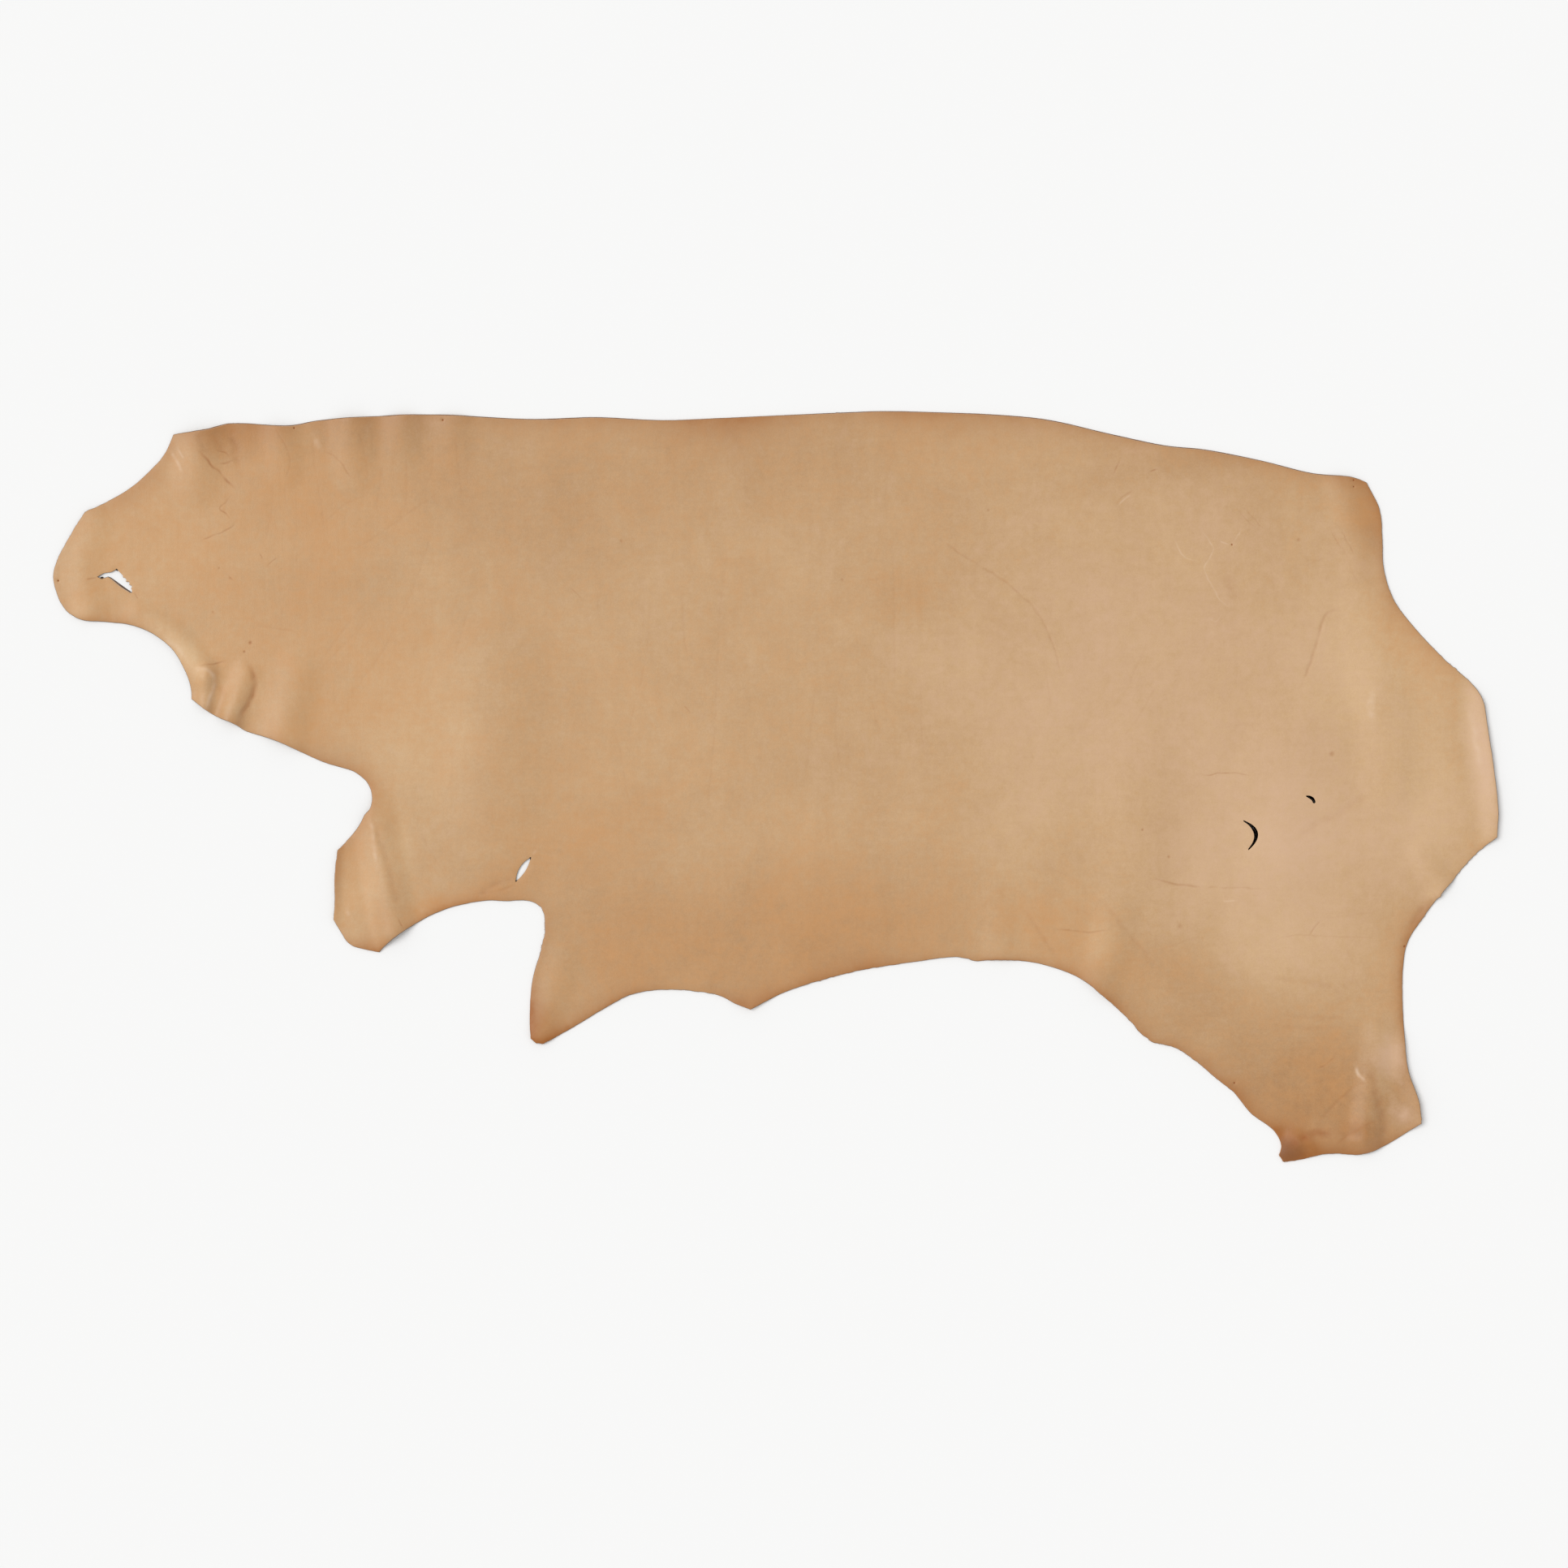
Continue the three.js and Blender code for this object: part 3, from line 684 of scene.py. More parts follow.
def add_creases(points, sunk, marks):
    """Adds to how deep the creases are sunk at each point, and to how dark or pale they are."""
    for number, crease in enumerate(LINES):
        near, away, along = near_line(points, crease, CREASE_NEAR * crease["half"])
        section = hump(away / crease["half"])
        ends = np.minimum(1, END_STEEPNESS * np.minimum(along, 1 - along) + END_DEPTH)
        uneven = EVEN_SHARE + UNEVEN_SHARE * wander(points[near], UNEVEN_WAVE, number)
        uneven = np.clip(uneven, *UNEVEN_LIMITS)
        sunk[near] += crease["depth"] * section * ends * np.minimum(uneven, 1)
        marks[near] += crease["tone"] * section * ends * uneven
    for spot in SPOTS:
        dent = bell(points, spot["at"], SPOT_REACH * spot["radius"])
        sunk += spot["depth"] * dent
        marks += spot["tone"] * np.minimum(1, SPOT_TONE * dent)


def even_grid(pitch):
    """Points of a grid of even triangles over the whole side."""
    low, high = rim.min(0), rim.max(0)
    rows = np.arange(low[1], high[1], pitch * math.sqrt(0.75))
    columns = np.arange(low[0], high[0], pitch)
    return np.vstack([np.stack([columns + (row % 2) * pitch / 2, np.full(len(columns), y)], axis=1)
                      for row, y in enumerate(rows)])


def into_hide(points):
    """How far each point lies inside the rim, less than 0 outside, and the nearest rim point."""
    found = [rim_tree.find((x, y, 0)) for x, y in points]
    nearest = np.array([index for _, index, _ in found])
    away = np.array([distance for _, _, distance in found])
    inside = ((points - rim[nearest]) * outward[nearest]).sum(1) < 0
    return np.where(inside, away, -away), nearest


def holds(loop, points):
    """Which points a closed loop goes round."""
    crossings = np.zeros(len(points), int)
    for (ax, ay), (bx, by) in zip(loop, np.roll(loop, -1, axis=0)):
        spans = (ay > points[:, 1]) != (by > points[:, 1])
        with np.errstate(divide="ignore", invalid="ignore"):
            crossings += spans & (points[:, 0] < ax + (points[:, 1] - ay) / (by - ay) * (bx - ax))
    return crossings % 2 == 1


def keep_on(mesh, name, values, kind="FLOAT", domain="POINT", part="value"):
    """Keeps values on each point, or each edge, of a mesh under a name."""
    mesh.attributes.new(name, kind, domain).data.foreach_set(part, values)


def fill(border, inner):
    """Triangles between the border loops that use the inner points, as numbers in the two together."""
    points = np.vstack([border, inner])
    edges = list(zip(range(len(border)), following.tolist()))
    _, _, faces, sources, _, _ = geometry.delaunay_2d_cdt(
        [Vector(point) for point in points], edges, [], 1, SAME_POINT, True)
    triangles = np.array([[sources[corner][0] for corner in face] for face in faces])
    in_doubt = np.flatnonzero((triangles < len(border)).all(1))
    middles = points[triangles[in_doubt]].mean(1)
    astray = ~holds(border[:starts[1]], middles)
    for first, last in hole_spans:
        astray |= holds(border[first:last], middles)
    return np.delete(triangles, in_doubt[astray], axis=0)


outline, *holes = rim_loops(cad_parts["leather_side"])
loops = [smooth_loop(outline, RIM_STEP)] + [smooth_loop(hole, HOLE_STEP) for hole in holes]
loops.append(smooth_run(SMALL_CUT + SMALL_CUT[:1], HOLE_STEP))
starts = np.cumsum([0] + [len(loop) for loop in loops])
hole_spans = list(zip(starts[1:-1], starts[2:]))
rim = np.vstack(loops)
outward = np.vstack([outward_of(loop) for loop in loops])
following = np.concatenate([first + np.roll(np.arange(len(loop)), -1) for first, loop in zip(starts, loops)])
on_outside = np.arange(len(rim)) < starts[1]

ragged = sum(row["rough"] * bell(rim, row["at"], row["reach"]) for row in RAGGED)
rough = np.where(on_outside, KNIFE_ROUGH, 0) + ragged
on_backbone = on_outside & (rim[:, 1] > BACKBONE_LOW)
from_ends = np.minimum(rim[:, 0] - BACKBONE_ENDS[0], BACKBONE_ENDS[1] - rim[:, 0])
backbone = np.where(on_backbone, np.clip(from_ends / SLANT_RUN_IN, 0, 1), 0)
rough *= 1 - BACKBONE_SMOOTHER * backbone
out = rough * waver(rim, KNIFE_WAVES)
for nub in NUBS:
    out += nub["out"] * bell(rim, nub["at"], nub.get("reach", NUB_REACH))
rim += outward * out[:, None]

slant = KNIFE_SLANT + (BACKBONE_SLANT - KNIFE_SLANT) * backbone * (SLANT_MEAN + waver(rim, SLANT_WAVES))
slant[~on_outside] = HOLE_SLANT
slant += EYE_SLANT * bell(rim, EYE_SLANT_AT, EYE_SLANT_REACH) * np.maximum(outward @ EYE_SLANT_WAY, 0)
shut = np.zeros(len(rim))
gloom = np.zeros(len(rim))
lean = np.zeros(len(rim))
for first, last in hole_spans:
    loop = rim[first:last]
    onward = np.roll(loop, -1, axis=0) - loop
    between = (loop[:, None] + onward[:, None] * np.arange(0, 1, ACROSS_STEP)[:, None]).reshape(-1, 2)
    across = between[None] - loop[:, None]
    facing = np.einsum("ijk,ik->ij", across, outward[first:last])
    radii = (across ** 2).sum(2) / np.maximum(2 * facing, FACING)
    inscribed = np.where(facing > FACING, radii, np.inf).min(1)
    closed = np.minimum(1, SHUT_STEEPNESS * sum(bell(loop, row["at"], row["reach"]) for row in SHUT))
    shut[first:last] = closed
    nearest_shut = max(SHUT, key=lambda row: bell(loop, row["at"], row["reach"]).max())
    gloom[first:last] = closed * nearest_shut["gloom"]
    lean[first:last] = closed * np.maximum(SHUT_LEAN * np.minimum(inscribed, WIDEST_LEAN) - SHUT_GAP, 0)

rim_tree = kdtree.KDTree(len(rim))
for number, (x, y) in enumerate(rim):
    rim_tree.insert((x, y, 0), number)
rim_tree.balance()

for wrinkle in WRINKLES:
    wrinkle.update(WRINKLE)
for number, crease in enumerate(LINES):
    line = crease["line"]
    path = np.vstack([smooth_run(line, CREASE_STEP), line[-1:]])
    crease["path"] = path + np.stack([wander(path, WAY_WAVE, number + seed) for seed in WAY_SEEDS], axis=1)

ring_places = []
for ring in RINGS:
    reach_out = lean * ring["down"] - slant * (1 - ring["down"]) - ring["inset"] * (1 - shut * ring["down"])
    ring_places.append(rim + outward * reach_out[:, None])

crease_points = []
for crease in LINES:
    path = crease["path"]
    way = np.gradient(path, axis=0)
    across = np.stack([-way[:, 1], way[:, 0]], axis=1) / np.linalg.norm(way, axis=1)[:, None]
    crease_points += [path + across * row * crease["half"] for row in crease.get("rows", CREASE_ROWS)]
for spot in SPOTS:
    crease_points.append(np.array([spot["at"]]))
    for share, sides in SPOT_RINGS.items():
        angles = np.arange(sides) * math.tau / sides
        ring_of_points = np.stack([np.cos(angles), np.sin(angles)], axis=1)
        crease_points.append(spot["at"] + ring_of_points * share * spot["radius"])
crease_points = np.vstack(crease_points)
_, first_of_each = np.unique(np.round(crease_points / CREASE_APART), axis=0, return_index=True)
crease_points = crease_points[np.sort(first_of_each)]
inside, nearest = into_hide(crease_points)
crease_points = crease_points[inside > slant[nearest] + CREASE_OFF_RIM]


def clearance(size, clear):
    """How much room a pitch, half width or radius asks for."""
    share, more = clear
    return share * size + more


def clear_of_creases(points):
    """Which points lie outside the strips that the creases and spots take up."""
    clear = np.ones(len(points), bool)
    for crease in LINES:
        reach = clearance(crease["half"], CREASE_CLEAR)
        near, away, _ = near_line(points, crease, reach)
        clear[near[away < reach]] = False
    for spot in SPOTS:
        clear[np.hypot(*(points - spot["at"]).T) < clearance(spot["radius"], SPOT_CLEAR)] = False
    return clear


def in_narrow_fold(points):
    """Which points lie on a fold that is too narrow for the wide grid."""
    on_fold = np.zeros(len(points), bool)
    for fold in FOLDS:
        if fold["half"] < NARROW_FOLD:
            near, away, _ = near_line(points, fold, fold["half"])
            on_fold[near[away < fold["half"]]] = True
    return on_fold


def inner_points(pitch, wanted):
    """The points of an even grid that are wanted and lie clear of the rim and the creases."""
    points = even_grid(pitch)
    points = points[wanted(points)]
    inside, nearest = into_hide(points)
    points = points[inside > slant[nearest] + clearance(pitch, GRAIN_CLEAR)]
    return points[clear_of_creases(points)]


grain_points = np.vstack([
    inner_points(GRAIN_PITCH, lambda points: ~in_narrow_fold(points)),
    inner_points(FOLD_PITCH, in_narrow_fold),
    crease_points,
])
flesh_points = even_grid(FLESH_PITCH)
inside, nearest = into_hide(flesh_points)
flesh_points = flesh_points[inside > clearance(FLESH_PITCH, FLESH_CLEAR)]

points = np.vstack([*ring_places, grain_points, flesh_points])
down = np.concatenate([np.full(len(rim), ring["down"]) for ring in RINGS]
                      + [np.zeros(len(grain_points)), np.ones(len(flesh_points))])
sunk = np.zeros(len(points))
marks = np.zeros(len(points))
add_creases(points, sunk, marks)
flesh_height = lie(points)
height = flesh_height + (THICKNESS + waver(points, SWELL_WAVES) - sunk) * (1 - down)

rings_end = len(RINGS) * len(rim)
crest = np.arange(len(rim))
lip = crest + (len(RINGS) - 1) * len(rim)
grain_numbers = np.concatenate([crest, rings_end + np.arange(len(grain_points))])
flesh_numbers = np.concatenate([lip, rings_end + len(grain_points) + np.arange(len(flesh_points))])
grain_faces = grain_numbers[fill(ring_places[0], grain_points)]
flesh_faces = flesh_numbers[fill(ring_places[-1], flesh_points)][:, ::-1]
one_band = np.stack([crest, crest + len(rim), following + len(rim), following], axis=1)
cut_faces = [one_band + ring * len(rim) for ring in range(len(RINGS) - 1)]

side_mesh = bpy.data.meshes.new("hide_sheet")
side_mesh.from_pydata(
    np.column_stack([points, height]) * MM, [],
    [*grain_faces.tolist(), *flesh_faces.tolist(), *np.vstack(cut_faces).tolist()])
side_mesh.shade_smooth()
GRAIN, FLESH, CUT = range(3)
first_band = [CUT if dark else GRAIN for dark in shut > MOSTLY_SHUT]
slots = [GRAIN] * len(grain_faces) + [FLESH] * len(flesh_faces) + first_band
slots += [CUT] * len(rim) * (len(cut_faces) - 1)
side_mesh.polygons.foreach_set("material_index", slots)

# The flesh side meets the cut face at a sharp edge.
ends = np.empty(2 * len(side_mesh.edges), int)
side_mesh.edges.foreach_get("vertices", ends)
ends = ends.reshape(-1, 2) - lip[0]
sharp = ((ends >= 0) & (ends < len(rim))).all(1)
one, other = ends[sharp].T
sharp[sharp] = (following[one] == other) | (following[other] == one)
keep_on(side_mesh, "sharp_edge", sharp, "BOOLEAN", "EDGE")

# What the finish follows, kept on each point of the mesh.
inside, nearest = into_hide(points)
closeness = np.array([bell(rim, row["at"], STAIN_SPREAD * row["reach"]) for row in RIM_STAINS])
total = closeness.sum(0)
stain_dark, stain_width = (
    RIM_STAIN[part] + ((np.array([row[part] for row in RIM_STAINS]) - RIM_STAIN[part]) @ closeness)
    / np.maximum(total, 1)
    for part in ("dark", "width"))
stain_dark[~on_outside] = 0
stain = stain_dark[nearest] * np.exp(-np.maximum(inside, 0) / stain_width[nearest])
shade = np.zeros(len(points))
warmth = np.zeros(len(points))
for patch in PATCHES:
    turn = math.radians(patch["turn"])
    turned_axes = np.array([[math.cos(turn), -math.sin(turn)], [math.sin(turn), math.cos(turn)]])
    turned = (points - patch["at"]) @ turned_axes
    here = bell(turned, 0, np.array(patch["reach"]) * PATCH_SPREAD)
    shade += patch["shade"] * here
    warmth += patch["warmth"] * here
neck = np.clip((NECK_FROM - points[:, 0]) / NECK_RUN_IN, 0, 1)
for name, values in {"stain": stain, "shade": shade, "warmth": warmth, "neck": neck, "down": down,
                     "gloom": gloom[nearest], "crease_and_shade_dark": np.maximum(-marks, 0),
                     "rubs_and_highlights": np.maximum(marks, 0)}.items():
    keep_on(side_mesh, name, values)


def srgb(red, green, blue):
    """A colour from its usual 0 to 255 values."""
    return (*[((c / 255 + 0.055) / 1.055) ** 2.4 for c in (red, green, blue)], 1)


def attribute(tree, name):
    """The values kept on the mesh under a name."""
    return add_node(tree, "ShaderNodeAttribute", attribute_name=name).outputs["Fac"]


def own_place(tree):
    """Where a point lies on the side, in its own coordinates."""
    return add_node(tree, "ShaderNodeTexCoord").outputs["Object"]


def object_noise(tree, scale, detail=3.0, stretch=None, distortion=0.0, rough=0.5):
    """Noise on the side's own coordinates, finer for a larger scale, squeezed along an axis by a stretch."""
    place = own_place(tree)
    if stretch:
        place = add_node(tree, "ShaderNodeMapping", {"Vector": place, "Scale": stretch}).outputs["Vector"]
    return add_node(tree, "ShaderNodeTexNoise", {"Vector": place, "Scale": scale, "Detail": detail,
                                                 "Roughness": rough, "Distortion": distortion}).outputs["Fac"]


def math_node(tree, operation, a, b=0.0, c=0.0, clamp=False):
    """The outcome of one sum, product or the like."""
    made = add_node(tree, "ShaderNodeMath", {0: a, 1: b, 2: c}, operation=operation, use_clamp=clamp)
    return made.outputs[0]


def weigh(tree, middle, parts):
    """The middle value, moved by each noise in turn, up or down by as much as half its weight."""
    total = middle - sum(weight for _, weight in parts) / 2
    for part, weight in parts:
        total = math_node(tree, "MULTIPLY_ADD", part, weight, total)
    return total


def mix_colours(tree, share, a, b):
    """Colour a, turned to colour b by the share."""
    made = add_node(tree, "ShaderNodeMix", {0: share, 6: a, 7: b}, data_type="RGBA", clamp_factor=True)
    return made.outputs[2]


# The colours of grain, flesh side and cut face. The cut face's run down from the grain, darkening
# towards the flesh side partly as painted shade; the cut shadow is painted shadow deep in closed cuts.
DEEP_TAN = srgb(164, 120, 76)
LIGHT_TAN = srgb(214, 179, 136)
ORANGE_TAN = srgb(200, 142, 84)
PINK_TAN = srgb(209, 172, 142)
LIQUOR_BROWN = srgb(158, 96, 38)
DEEPEST_BROWN = srgb(112, 72, 44)
CREASE_AND_SHADE_BROWN = srgb(150, 82, 26)
RUB_AND_HIGHLIGHT_PALE = srgb(232, 206, 180)
CUT_SHADOW = srgb(9, 5, 3)
FLESH_DULL = srgb(158, 128, 100)
FLESH_PALE = srgb(208, 181, 150)
CUT_DEPTHS = {0.10: srgb(212, 172, 134), 0.26: srgb(214, 186, 160),
              0.42: srgb(122, 100, 84), 0.90: srgb(92, 76, 66)}
CUT_FIBRE = srgb(78, 60, 48)

# How strongly the patches, marks and stains tell, how rough and shiny each finish is, and how
# deep its relief is, in metres.
SHADE_SHARE = 0.7
WARMTH_SHARE = 1.5
WARM_SHARE = 0.62
DEEPEST_SHARE = -0.35
DEEPEST_FROM = -0.45
PALE_SHARE = 0.6
SOAKED_SHARE = 0.6
GRAIN_SHINE = 0.4
NAP_ROUGHNESS = 0.95
NAP_SHINE = 0.15
NAP_SHEEN = 0.15
CUT_ROUGHNESS = 0.9
CUT_SHINE = 0.2
PORE_SCALE = 800.0
BUMP_STRENGTH = 0.9
FUZZ_STRENGTH = 0.8
WRINKLE_BUMP = 0.0004
MOTTLE_BUMP = 0.0005
GRAIN_BUMP = 0.00016
PORE_BUMP = 0.00010
NAP_BUMP = 0.0006
CUT_BUMP = 0.0004


def bumps(tree, strength, height_maps):
    """One bump laid over another, each by its height map and its depth in metres."""
    normal = None
    for height_map, depth in height_maps:
        layer = add_node(tree, "ShaderNodeBump", {"Height": height_map, "Distance": depth,
                                                  "Strength": strength})
        if normal:
            set_inputs(layer, {"Normal": normal})
        normal = layer.outputs["Normal"]
    return normal


def grain_leather():
    """The glazed grain side: clouded tan, glazing streaks both ways, pores, and wrinkles on the neck."""
    material, tree, shader = new_material("grain_leather")
    clouds = object_noise(tree, 3.6, 7.0, distortion=0.3, rough=0.72)
    warm_clouds = object_noise(tree, 5.5, 6.0, (1, 1, 3), 0.5, 0.82)
    mottle = object_noise(tree, 24, 4.0, distortion=0.6)
    warm_mottle = object_noise(tree, 60, 4.0, rough=0.7)
    flecks = object_noise(tree, 150, 3.0, rough=0.7)
    fine_flecks = object_noise(tree, 360, 2.0, rough=0.6)
    broad_streaks = object_noise(tree, 1.0, 2.0, (26, 3.2, 1))
    streaks_across = object_noise(tree, 1.0, 3.0, (110, 16, 1), 0.3)
    streaks_along = object_noise(tree, 1.0, 3.0, (15, 120, 1), 0.3)
    neck_lines = object_noise(tree, 1.0, 4.0, (75, 11, 1), 0.4)

    light = weigh(tree, 0.54, [(clouds, 0.50), (mottle, 0.08), (flecks, 0.27), (fine_flecks, 0.24),
                               (broad_streaks, 0.10), (streaks_across, 0.09), (streaks_along, 0.10)])
    light = math_node(tree, "MULTIPLY_ADD", attribute(tree, "shade"), SHADE_SHARE, light, clamp=True)
    tan = mix_colours(tree, light, DEEP_TAN, LIGHT_TAN)
    warm = weigh(tree, 0.1, [(warm_clouds, 1.9), (warm_mottle, 1.25), (flecks, 0.35)])
    warm = math_node(tree, "MULTIPLY_ADD", attribute(tree, "warmth"), WARMTH_SHARE, warm)
    tan = mix_colours(tree, math_node(tree, "MULTIPLY", warm, WARM_SHARE), tan, ORANGE_TAN)
    tan = mix_colours(tree, math_node(tree, "MULTIPLY", warm, -WARM_SHARE), tan, PINK_TAN)
    blotted = weigh(tree, 0.9, [(mottle, 0.9), (flecks, 0.3)])
    stain = math_node(tree, "MULTIPLY", attribute(tree, "stain"), blotted)
    tan = mix_colours(tree, stain, tan, LIQUOR_BROWN)
    # The darkest shades, found only at the toe's tip, go on to a deep brown.
    deepest = math_node(tree, "MULTIPLY_ADD", attribute(tree, "shade"), DEEPEST_SHARE, DEEPEST_FROM,
                        clamp=True)
    tan = mix_colours(tree, deepest, tan, DEEPEST_BROWN)
    # Creases and spots darken to brown, and along the hollows of some folds this brown is painted shade.
    tan = mix_colours(tree, attribute(tree, "crease_and_shade_dark"), tan, CREASE_AND_SHADE_BROWN)
    # Rubs and glints pale the tan: the rubs are wear, and the glints are painted highlights.
    rub_and_highlight = math_node(tree, "MULTIPLY", attribute(tree, "rubs_and_highlights"), PALE_SHARE)
    tan = mix_colours(tree, rub_and_highlight, tan, RUB_AND_HIGHLIGHT_PALE)

    roughness = weigh(tree, 0.46, [(mottle, 0.10), (flecks, 0.08)])
    pores = add_node(tree, "ShaderNodeTexVoronoi", {"Vector": own_place(tree), "Scale": PORE_SCALE})
    grain = object_noise(tree, 420, 4.0)
    wrinkles = math_node(tree, "MULTIPLY", neck_lines, attribute(tree, "neck"))
    bump = bumps(tree, BUMP_STRENGTH, [(wrinkles, WRINKLE_BUMP), (mottle, MOTTLE_BUMP),
                                       (grain, GRAIN_BUMP), (pores.outputs["Distance"], PORE_BUMP)])
    set_inputs(shader, {"Base Color": tan, "Roughness": roughness, "Specular IOR Level": GRAIN_SHINE,
                        "Normal": bump})
    return material


def flesh_leather():
    """The flesh side: a short matt nap, paler and greyer, with the long marks of the shaving knife."""
    material, tree, shader = new_material("flesh_leather")
    clouds = object_noise(tree, 7, 3.0)
    nap = object_noise(tree, 260, 5.0, (1, 1.6, 1), 1.2)
    shaving = object_noise(tree, 1.0, 4.0, (9, 70, 1), 0.5)
    light = weigh(tree, 0.5, [(clouds, 0.5), (nap, 0.55), (shaving, 0.35)])
    colour = mix_colours(tree, light, FLESH_DULL, FLESH_PALE)
    bump = bumps(tree, FUZZ_STRENGTH, [(weigh(tree, 0.5, [(nap, 1.0), (shaving, 0.4)]), NAP_BUMP)])
    set_inputs(shader, {"Base Color": colour, "Roughness": NAP_ROUGHNESS, "Specular IOR Level": NAP_SHINE,
                        "Sheen Weight": NAP_SHEEN, "Normal": bump})
    return material


def cut_leather():
    """The cut face: a pale line under the grain, grey brown fibres below it that darken downwards partly as
    painted shade, and painted shadow, near black, deep in closed cuts.
    """
    material, tree, shader = new_material("cut_leather")
    fibres = object_noise(tree, 700, 4.0, (1, 1, 2.5))
    tufts = object_noise(tree, 90, 3.0)
    depth = math_node(tree, "ADD", attribute(tree, "down"), weigh(tree, 0.0, [(tufts, 0.5)]), clamp=True)
    ramp = add_node(tree, "ShaderNodeValToRGB", {"Fac": depth})
    stops = ramp.color_ramp.elements
    for position, colour in CUT_DEPTHS.items():
        stops.new(position).color = colour
    stops.remove(stops[0])
    stops.remove(stops[-1])
    worn = mix_colours(tree, weigh(tree, 0.12, [(fibres, 0.9)]), ramp.outputs["Color"], CUT_FIBRE)
    soaked = math_node(tree, "MULTIPLY", attribute(tree, "stain"), SOAKED_SHARE)
    stained = mix_colours(tree, soaked, worn, LIQUOR_BROWN)
    out_of_light = math_node(tree, "MULTIPLY_ADD", attribute(tree, "down"), 1.0, 0.8, clamp=True)
    dark = math_node(tree, "MULTIPLY", attribute(tree, "gloom"), out_of_light)
    colour = mix_colours(tree, dark, stained, CUT_SHADOW)
    shine = math_node(tree, "MULTIPLY_ADD", attribute(tree, "gloom"), -CUT_SHINE, CUT_SHINE, clamp=True)
    bump = bumps(tree, FUZZ_STRENGTH, [(fibres, CUT_BUMP)])
    set_inputs(shader, {"Base Color": colour, "Roughness": CUT_ROUGHNESS, "Specular IOR Level": shine,
                        "Normal": bump})
    return material


for finish in (grain_leather(), flesh_leather(), cut_leather()):
    side_mesh.materials.append(finish)
side = put_in("hide_sheet", side_mesh)
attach(side, "root")
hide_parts("leather_side")


# The loose fibres
# Where the knife dragged or the hide tore, short curled fibres stand out of the cut face. They are
# part of the hide, pale or liquor brown, and there are hardly any along the backbone cut.
FIBRE_SPACING = 1.0
FIBRE_LENGTH = 2.2
FIBRE_THICKNESS = 0.17
FIBRE_SPREAD = 0.9
FIBRE_CURL = 2.4
FIBRE_LEVEL = 0.7
FIBRE_SEED = 11
FIBRE_ASTRAY = ((-1, -1, -0.1), (1, 1, 0.5))
FIBRE_LENGTHS = (0.3, 1.5)
FIBRE_SIDES = 4
FIBRE_JOINTS = 3
FIBRE_TIP = 0.15
FIBRE_WAVES = 420.0
FIBRE_ROOT = 0.4
FIBRE_BROWN = srgb(118, 84, 56)
FIBRE_PALE = srgb(214, 184, 150)
SMOOTH_FRAY = 0.04
RAGGED_FRAY = 0.75
BACKBONE_TRIMMED = 0.8


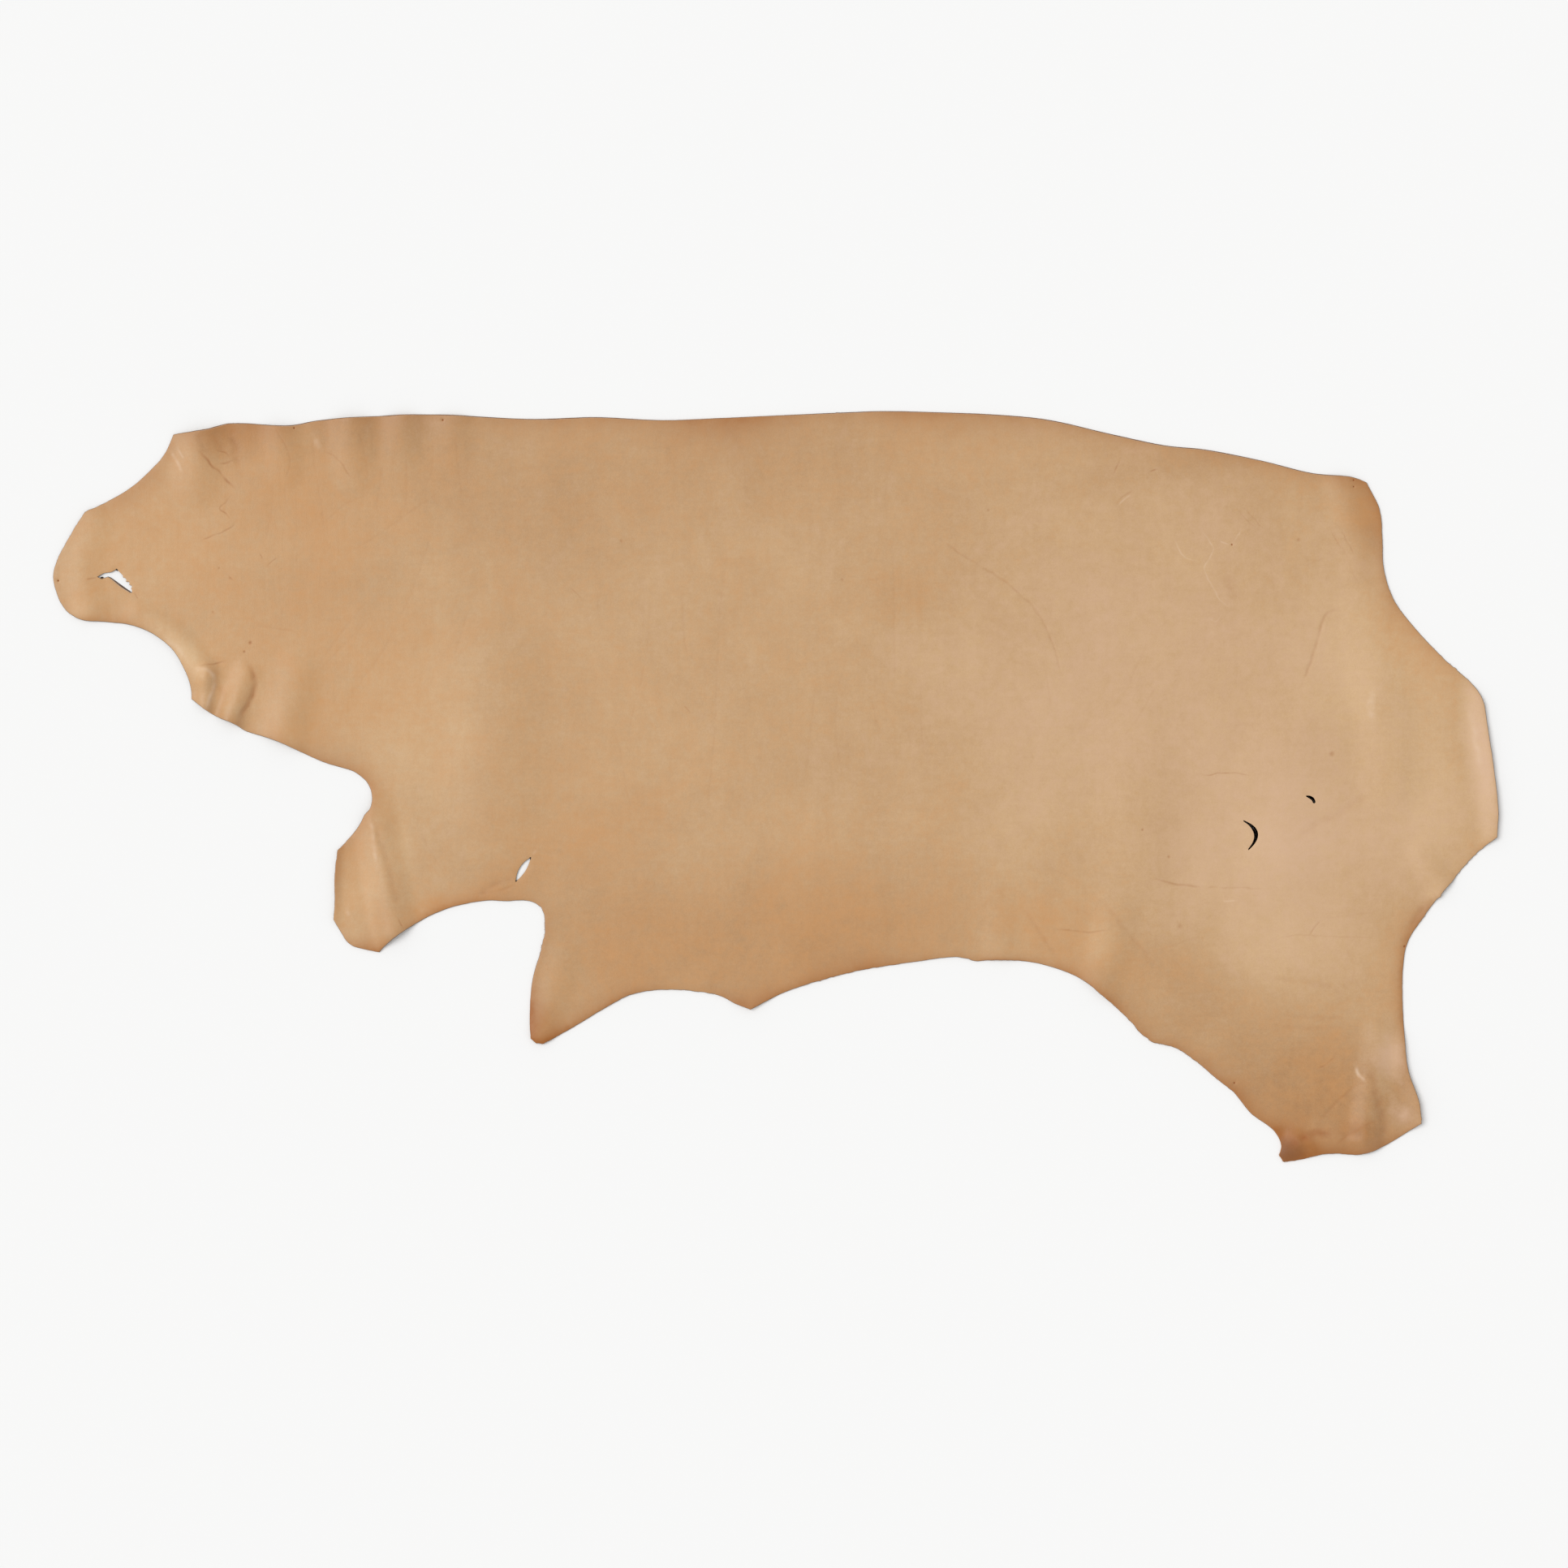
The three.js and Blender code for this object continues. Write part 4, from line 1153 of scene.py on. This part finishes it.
def fibre_tree():
    """Nodes that set curled fibres along a line, where its attribute fray says, the way outward says."""
    tree = bpy.data.node_groups.new("loose_fibres", "GeometryNodeTree")
    tree.interface.new_socket("Line", in_out="INPUT", socket_type="NodeSocketGeometry")
    for name in ("Spacing", "Length", "Thickness", "Spread", "Curl"):
        tree.interface.new_socket(name, in_out="INPUT", socket_type="NodeSocketFloat")
    tree.interface.new_socket("Seed", in_out="INPUT", socket_type="NodeSocketInt")
    tree.interface.new_socket("Finish", in_out="INPUT", socket_type="NodeSocketMaterial")
    tree.interface.new_socket("Fibres", in_out="OUTPUT", socket_type="NodeSocketGeometry")
    given = add_node(tree, "NodeGroupInput").outputs

    curve = add_node(tree, "GeometryNodeMeshToCurve", {"Mesh": given["Line"]}).outputs["Curve"]
    places = add_node(tree, "GeometryNodeResampleCurve", {"Curve": curve, "Length": given["Spacing"]},
                      mode="LENGTH").outputs["Curve"]
    fray = add_node(tree, "GeometryNodeInputNamedAttribute", {"Name": "fray"}, data_type="FLOAT")
    away = add_node(tree, "GeometryNodeInputNamedAttribute", {"Name": "outward"}, data_type="FLOAT_VECTOR")
    chance = add_node(tree, "FunctionNodeRandomValue", {"Seed": given["Seed"]}, data_type="FLOAT").outputs[1]
    grows = math_node(tree, "LESS_THAN", chance, fray.outputs["Attribute"])

    astray = add_node(tree, "FunctionNodeRandomValue", {
        0: FIBRE_ASTRAY[0], 1: FIBRE_ASTRAY[1], "Seed": given["Seed"]}, data_type="FLOAT_VECTOR").outputs[0]
    spread = add_node(tree, "ShaderNodeVectorMath", {0: astray, "Scale": given["Spread"]}, operation="SCALE")
    way = add_node(tree, "ShaderNodeVectorMath", {0: away.outputs["Attribute"], 1: spread.outputs[0]},
                   operation="ADD")
    turned = add_node(tree, "FunctionNodeAlignRotationToVector", {"Vector": way.outputs[0]}, axis="Z")
    reach = add_node(tree, "FunctionNodeRandomValue", {
        2: FIBRE_LENGTHS[0], 3: FIBRE_LENGTHS[1], "Seed": given["Seed"]}, data_type="FLOAT").outputs[1]
    length = math_node(tree, "MULTIPLY", reach, given["Length"])
    size = add_node(tree, "ShaderNodeCombineXYZ", {
        "X": given["Thickness"], "Y": given["Thickness"], "Z": length})

    fibre = add_node(tree, "GeometryNodeMeshCone", {
        "Vertices": FIBRE_SIDES, "Side Segments": FIBRE_JOINTS, "Radius Top": FIBRE_TIP,
        "Radius Bottom": 1.0, "Depth": 1.0})
    set_out = add_node(tree, "GeometryNodeInstanceOnPoints", {
        "Points": places, "Selection": grows, "Instance": fibre.outputs["Mesh"],
        "Rotation": turned.outputs["Rotation"], "Scale": size.outputs["Vector"]})
    solid = add_node(tree, "GeometryNodeRealizeInstances", {"Geometry": set_out.outputs["Instances"]})

    waves = add_node(tree, "ShaderNodeTexNoise", {"Scale": FIBRE_WAVES, "Detail": 1.0}).outputs["Color"]
    centred = add_node(tree, "ShaderNodeVectorMath", {0: waves, 1: (0.5, 0.5, 0.5)}, operation="SUBTRACT")
    curl = add_node(tree, "ShaderNodeVectorMath", {0: centred.outputs[0], "Scale": given["Curl"]},
                    operation="SCALE")
    curled = add_node(tree, "GeometryNodeSetPosition", {"Geometry": solid.outputs["Geometry"],
                                                        "Offset": curl.outputs[0]})
    now = add_node(tree, "ShaderNodeSeparateXYZ", {0: add_node(tree, "GeometryNodeInputPosition").outputs[0]})
    above_floor = math_node(tree, "MAXIMUM", now.outputs["Z"], 0.0)
    kept = add_node(tree, "ShaderNodeCombineXYZ", {
        "X": now.outputs["X"], "Y": now.outputs["Y"], "Z": above_floor})
    laid = add_node(tree, "GeometryNodeSetPosition", {"Geometry": curled.outputs["Geometry"],
                                                      "Position": kept.outputs["Vector"]})
    finished = add_node(tree, "GeometryNodeSetMaterial", {"Geometry": laid.outputs["Geometry"],
                                                          "Material": given["Finish"]})
    add_node(tree, "NodeGroupOutput", {"Fibres": finished.outputs["Geometry"]})
    return tree


def fibre_leather():
    """Loose hide fibres: matt, from the pale inside of the hide to the brown of dried tan liquor."""
    material, tree, shader = new_material("fibre_leather")
    tufts = object_noise(tree, 60, 4.0, rough=0.7)
    colour = mix_colours(tree, weigh(tree, 0.45, [(tufts, 2.4)]), FIBRE_BROWN, FIBRE_PALE)
    set_inputs(shader, {"Base Color": colour, "Roughness": NAP_ROUGHNESS, "Specular IOR Level": NAP_SHINE})
    return material


fray = (SMOOTH_FRAY + RAGGED_FRAY * ragged) * (1 - BACKBONE_TRIMMED * backbone) * (1 - shut)
root_height = (lie(rim) + THICKNESS * (1 - FIBRE_LEVEL)) * MM
fibre_mesh = bpy.data.meshes.new("edge_fibres")
fibre_mesh.from_pydata(np.column_stack([(rim - outward * FIBRE_ROOT) * MM, root_height]),
                       np.column_stack([np.arange(len(rim)), following]).tolist(), [])
keep_on(fibre_mesh, "fray", fray)
level_outward = np.column_stack([outward, np.zeros(len(rim))]).ravel()
keep_on(fibre_mesh, "outward", level_outward, "FLOAT_VECTOR", part="vector")
fibres = put_in("edge_fibres", fibre_mesh)
setting = fibres.modifiers.new("loose_fibres", "NODES")
setting.node_group = fibre_tree()
sockets = {item.name: item.identifier for item in setting.node_group.interface.items_tree}
for name, value in {"Spacing": FIBRE_SPACING * MM, "Length": FIBRE_LENGTH * MM,
                    "Thickness": FIBRE_THICKNESS * MM, "Spread": FIBRE_SPREAD, "Curl": FIBRE_CURL * MM,
                    "Seed": FIBRE_SEED, "Finish": fibre_leather()}.items():
    setting[sockets[name]] = value
grown = fibres.evaluated_get(bpy.context.evaluated_depsgraph_get())
fibres.data = bpy.data.meshes.new_from_object(grown)
fibres.data.materials.pop(index=0)
fibres.modifiers.clear()
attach(fibres, "root")
